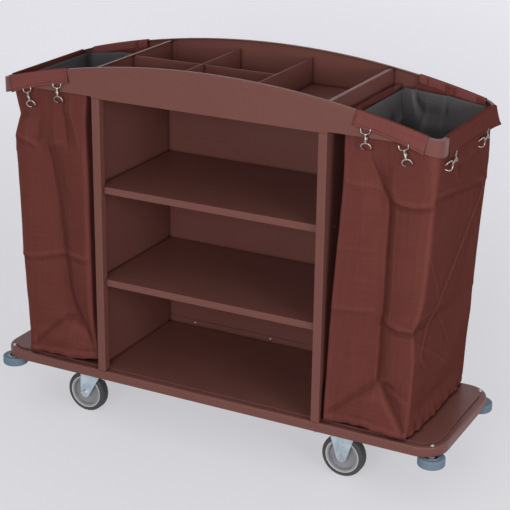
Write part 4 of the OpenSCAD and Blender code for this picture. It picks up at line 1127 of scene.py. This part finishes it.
def stitch_row(shape, path, out):
    """Separate stitches along a path, lying on the cloth on the side that out points to."""
    points = [Vector(point) for point in path]
    steps = [(b - a).length for a, b in zip(points, points[1:])]
    along = np.concatenate([[0.0], np.cumsum(steps)])
    arrays = [np.array([point[axis] for point in points]) for axis in range(3)]

    def at(distance):
        return Vector([float(np.interp(distance, along, values)) for values in arrays])

    thin = STITCH_RADIUS * 0.55
    radii = [thin, STITCH_RADIUS, STITCH_RADIUS, STITCH_RADIUS, thin]
    start = STITCH_PITCH / 2
    while start + STITCH_LENGTH < along[-1]:
        marks = [at(start + STITCH_LENGTH * share) for share in (0, 0.15, 0.5, 0.85, 1)]
        lifts = (-0.1, 0.28, 0.4, 0.28, -0.1)
        direction = out(marks[2]) if callable(out) else Vector(out)
        stitch = [mark + direction * (lift + STITCH_RADIUS * 0.5) for mark, lift in zip(marks, lifts)]
        shape.tube(stitch, radii, sides=5)
        start += STITCH_PITCH


def away_from(middle, sign):
    """Function for the level direction at a point, away from a loop's middle (1) or towards it (-1)."""
    def direction(point):
        return (point - Vector((middle.x, middle.y, point.z))).normalized() * sign
    return direction


def bag_stitching(side, mirror, flap_rows, body_rows, facing_rows):
    """Stitches along the flaps' hems and inner ends, the facing and the bag's lower seam."""
    shape = Shape()
    for name, rows in flap_rows.items():
        out = Vector({"front": (0, -1, 0), "rear": (0, 1, 0), "end": (1, 0, 0), "rail": (-1, 0, 0)}[name])
        hem = [row[-1] + (row[-2] - row[-1]) * 0.3 + out * FLAP_CLOTH for row in rows]
        stitch_row(shape, hem, out)
        if name in ("front", "rear"):
            upright = rows[1][OVER_POINTS:EDGE_POINT - 2]
            stitch_row(shape, [point + out * FLAP_CLOTH for point in upright], out)
    inside = [point + Vector((0, 0, 4.5)) for point in facing_rows[-1]]
    middle = sum(inside, Vector()) / len(inside)
    drawn = []
    for point in inside:
        inwards = middle - point
        inwards.z = 0
        drawn.append(point + inwards.normalized() * 1.4)
    stitch_row(shape, drawn, away_from(middle, -1))
    seam = body_rows[-SEAM_ROW]
    heart = sum(seam, Vector()) / len(seam)
    stitch_row(shape, seam + [seam[0]], away_from(heart, 1))
    return make_piece(f"{side}_bag_stitching", shape, "cart", THREAD, mirror)


# Snap hooks

def smooth_path(points, steps):
    """Points of a smooth curve through the given ones."""
    points = [Vector(point) for point in points]
    curve = []
    for index in range(len(points) - 1):
        before = points[max(index - 1, 0)]
        start = points[index]
        end = points[index + 1]
        after = points[min(index + 2, len(points) - 1)]
        for step in range(steps):
            t = step / steps
            curve.append(0.5 * (2 * start + (end - before) * t
                                + (2 * before - 5 * start + 4 * end - after) * t * t
                                + (3 * start - before - 3 * end + after) * t ** 3))
    curve.append(points[-1])
    return curve


def snap_hook(shape, place, out, along, lean, depth):
    """Wire bow through the flap's hem, a barrel with its thumb slide, and a claw that goes into the bag."""
    place = Vector(place)
    out = Vector(out)
    along = Vector(along)
    down = (Vector((0, 0, -1)) + along * lean).normalized()
    across = (along - down * along.dot(down)).normalized()

    def at(sideways, lower, outwards):
        return place + across * sideways + down * lower + out * outwards

    half_bow = [(0, 1.5, 2.6), (4.5, 1.3, 2.5), (8.6, 0.6, 2.4), (11.2, -1.4, 2.3), (12.6, -4.6, 2.2),
                (13.0, -8.6, 1.8), (13.0, -11.6, 0.4), (12.6, -12.8, -2.8)]
    bow = [(-sideways, lower, outwards) for sideways, lower, outwards in reversed(half_bow[1:])] + half_bow
    shape.tube(smooth_path([at(*step) for step in bow], 4), 1.75, sides=12)
    barrel = [(0.2, -1.8), (2.6, -1.6), (3.9, -0.4), (4.0, 3.4), (3.2, 4.6), (2.5, 5.4), (2.5, 7.2),
              (3.3, 8.0), (3.4, 20.4), (2.9, 21.6), (2.2, 24.0), (2.2, 26.0), (0.2, 26.4)]
    shape.turned(barrel, at(0, 1.5, 2.6), down, sides=24)
    slide = [(2.6, 10.5), (4.2, 11.2), (4.9, 13.0), (4.4, 15.2), (2.8, 16.4)]
    slide = [at(sideways, lower, 2.6) for sideways, lower in slide]
    shape.tube(smooth_path(slide, 3), 1.1, sides=8)
    claw = [(0, 25.6, 2.4), (3.4, 25.9, 2.6), (8.0, 27.4, 2.5), (11.6, 30.6, 2.0), (13.3, 35.0, 0.8),
            (12.8, 39.4, -1.4), (10.6, 43.0, -4.6), (7.4, 45.2, -9.0), (4.8, 46.0, depth)]
    for hand in (-1, 1):
        path = smooth_path([at(hand * sideways, lower, outwards) for sideways, lower, outwards in claw], 4)
        radii = np.interp(np.linspace(0, 1, len(path)), [0, 0.25, 0.6, 1], [1.9, 2.2, 2.0, 1.6])
        shape.tube(path, list(radii), sides=12)


# Where the hooks hang, how far they lean along the cloth for each unit down, and how far they start out
# from the rim and below the flap's edge
HOOK_X = {"right": (463, 568), "left": (463, 563)}
HOOK_LEAN = (0.06, 0.26)
HOOK_END_Y = 120
HOOK_END_LEAN = -2.6
HOOK_OUT = 3.2
HOOK_DROP = 9.5


def snap_hooks(side, mirror):
    shape = Shape()
    for face in (-1, 1):
        for x, lean in zip(HOOK_X[side], HOOK_LEAN):
            place = (x, face * (PANEL_Y + HOOK_OUT), flap_edge_z(x) - HOOK_DROP)
            snap_hook(shape, place, (0, face, 0), (1, 0, 0), lean * mirror, -15.5)
    for y in (-HOOK_END_Y, HOOK_END_Y):
        place = (RIM_X + HOOK_OUT, y, END_FLAP_Z - HOOK_DROP)
        snap_hook(shape, place, (1, 0, 0), (0, 1, 0), HOOK_END_LEAN * mirror, -14.0)
    return make_piece(f"{side}_bag_hooks", shape, "cart", NICKEL, mirror, smooth=50)


for side, mirror in (("right", 1), ("left", -1)):
    body, body_rows = bag_body(side, mirror)
    lining = bag_lining(side, mirror)
    facing, facing_rows = bag_facing(side, mirror)
    front, front_rows = face_flap(side, mirror, -1, 1.3 if side == "right" else 6.1)
    rear, rear_rows = face_flap(side, mirror, 1, 3.9)
    end, end_rows = end_flap(side, mirror)
    rail, rail_rows = rail_flap(side, mirror)
    flap_rows = {"front": front_rows, "rear": rear_rows, "end": end_rows, "rail": rail_rows}
    stitching = bag_stitching(side, mirror, flap_rows, body_rows, facing_rows)
    hooks = snap_hooks(side, mirror)
    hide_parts(f"{side}_bag")
    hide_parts(f"{side}_snap_hooks")


# Wheels

WHEEL_Y = 140
WHEEL_Z = 62.5
WHEEL_HALF = 16
HUB_RADIUS = 49
WHEEL_X = {"left": -445, "right": 402}
# Ring on a wheel's face, as (distance out from the hub's edge, height from the face)
WHEEL_RING = [(-1.9, -1.5), (-1.7, 0.3), (-0.9, 0.9), (0.6, 0.9), (1.2, 0.4), (1.3, -1.5)]

for corner_y in ("front", "rear"):
    for corner_x in ("left", "right"):
        wheel = f"{corner_y}_{corner_x}_wheel"
        centre = (WHEEL_X[corner_x], -WHEEL_Y if corner_y == "front" else WHEEL_Y, WHEEL_Z)
        rings = []
        for hand in (-1, 1):
            face = WHEEL_HALF - 0.4
            rings.append([(HUB_RADIUS + out, hand * (face + height)) for out, height in WHEEL_RING])
        turned_piece(f"{wheel}_ring", rings, centre, (0, 1, 0), 72, wheel, RING)


# Bumper bearings: a ring, and a black disc of painted shade in its recess, as (radius, height from the tyre's
# top)

BEARING_RING = [(17.7, -1.4), (17.9, -0.1), (18.5, 0.4), (20.3, 0.4), (20.8, -0.1), (20.9, -1.4)]
# Black disc in the bearing's recess: painted shade
BEARING_RECESS_SHADE = [(9.2, -3.2), (9.4, -2.4), (10.2, -2.0), (16.6, -2.0), (17.5, -2.4), (17.8, -3.2)]

for corner in ("front_left", "front_right", "rear_left", "rear_right"):
    bumper = f"{corner}_bumper"
    tyre = bpy.data.objects[f"{bumper}_tyre"]
    ends = [tyre.matrix_world @ Vector(end) / MM for end in tyre.bound_box]
    centre = sum(ends, Vector()) / 8
    top = max(end.z for end in ends) - centre.z
    for name, profile, finish in (("ring", BEARING_RING, FASTENER), ("recess_shade", BEARING_RECESS_SHADE, RECESS_SHADE)):
        raised = [(radius, top + height) for radius, height in profile]
        turned_piece(f"{bumper}_{name}", [raised], centre, (0, 0, 1), 64, bumper, finish)


# Stage, light and camera

def studio_finish():
    """Plain pale backdrop that takes the cart's shadow; a camera behind it sees through it."""
    finish, tree, shader = new_finish("pale studio floor")
    place = object_place(tree)
    cloud = noise_node(tree, place, 0.8, 3.0, 0.5)
    seen, rays = seen_rays(tree)
    height = add_node(tree, "ShaderNodeSeparateXYZ", {0: place})["Z"]
    wall = ramp_node(tree, height, 0.02, 0.7)
    pale = mix_colour(tree, wall, (0.46, 0.46, 0.48, 1.0), (0.55, 0.54, 0.58, 1.0))
    set_inputs(tree, shader, {
        "Base Color": mix_colour(tree, cloud, srgb(172, 173, 176), srgb(180, 181, 184)),
        "Roughness": 0.6,
        "Specular IOR Level": 0.2,
        "Emission Color": mix_colour(tree, seen, (0.0, 0.0, 0.0, 1.0), pale),
        "Emission Strength": 1.0,
    })
    back = add_node(tree, "ShaderNodeNewGeometry", {})["Backfacing"]
    behind = math_node(tree, "MULTIPLY", back, rays["Is Camera Ray"])
    clear = add_node(tree, "ShaderNodeBsdfTransparent", {})[0]
    blend = add_node(tree, "ShaderNodeMixShader", {0: behind, 1: shader.outputs[0], 2: clear})[0]
    set_inputs(tree, tree.nodes["Material Output"], {"Surface": blend})
    return finish


def studio_sweep():
    """Floor that turns up into a backdrop behind the cart."""
    far = 9000
    cove = 1500
    turn = 900
    outline = [(-far, 0), (-3000, 0), (0, 0), (cove - turn, 0)]
    for angle in range(10, 91, 10):
        bend = math.radians(angle)
        outline.append((cove - turn + turn * math.sin(bend), turn - turn * math.cos(bend)))
    outline.append((cove, 6000))
    rows = []
    for y, z in outline:
        rows.append([(x, y, z) for x in (-far, -3000, 0, 3000, far)])
    shape = Shape()
    shape.grid(rows)
    mesh = bpy.data.meshes.new("studio_sweep")
    mesh.from_pydata([tuple(value * MM for value in point) for point in shape.points], [], shape.faces)
    mesh.polygons.foreach_set("use_smooth", [True] * len(mesh.polygons))
    mesh.materials.append(studio_finish())
    sweep = bpy.data.objects.new("studio_sweep", mesh)
    bpy.context.scene.collection.objects.link(sweep)


def soft_light(name, place, aim, width, height, power):
    light = bpy.data.lights.new(name, "AREA")
    light.shape = "RECTANGLE"
    light.size = width
    light.size_y = height
    light.energy = power
    obj = bpy.data.objects.new(name, light)
    obj.location = place
    obj.rotation_euler = (Vector(aim) - Vector(place)).to_track_quat("-Z", "Y").to_euler()
    bpy.context.scene.collection.objects.link(obj)


def sky():
    """Even light from all round, which the camera and reflections see paler than it lights."""
    world = bpy.data.worlds.new("studio")
    bpy.context.scene.world = world
    world.use_nodes = True
    tree = world.node_tree
    strength = math_node(tree, "MULTIPLY_ADD", seen_rays(tree)[0], 0.42, 0.4)
    set_inputs(tree, tree.nodes["Background"], {"Color": (1.0, 1.0, 1.0, 1.0), "Strength": strength})


def photo_camera():
    """Camera at the photograph's viewing angle."""
    azimuth = math.radians(27.185)
    elevation = math.radians(20.556)
    roll = math.radians(0.751)
    place = (1.8538, -3.5260, 2.0282)
    level = Vector((math.cos(azimuth), math.sin(azimuth), 0))
    away = Vector((math.sin(azimuth), -math.cos(azimuth), 0))
    back = away * math.cos(elevation) + Vector((0, 0, math.sin(elevation)))
    upright = back.cross(level)
    right = level * math.cos(roll) + upright * math.sin(roll)
    up = upright * math.cos(roll) - level * math.sin(roll)
    lens = bpy.data.cameras.new("photo_camera")
    lens.sensor_width = 36
    lens.lens = 104.78
    lens.clip_end = 60
    camera = bpy.data.objects.new("photo_camera", lens)
    turn = Matrix((right, up, back)).transposed()
    camera.matrix_world = Matrix.Translation(place) @ turn.to_4x4()
    bpy.context.scene.collection.objects.link(camera)
    bpy.context.scene.camera = camera


studio_sweep()
sky()
soft_light("key_light", (0.68, -4.29, 1.85), (0, 0, 0.65), 2.2, 1.5, 58)
soft_light("side_light", (3.85, -2.2, 1.6), (0.1, 0, 0.65), 1.6, 1.2, 47)
photo_camera()
bpy.context.scene.view_settings.view_transform = "Standard"
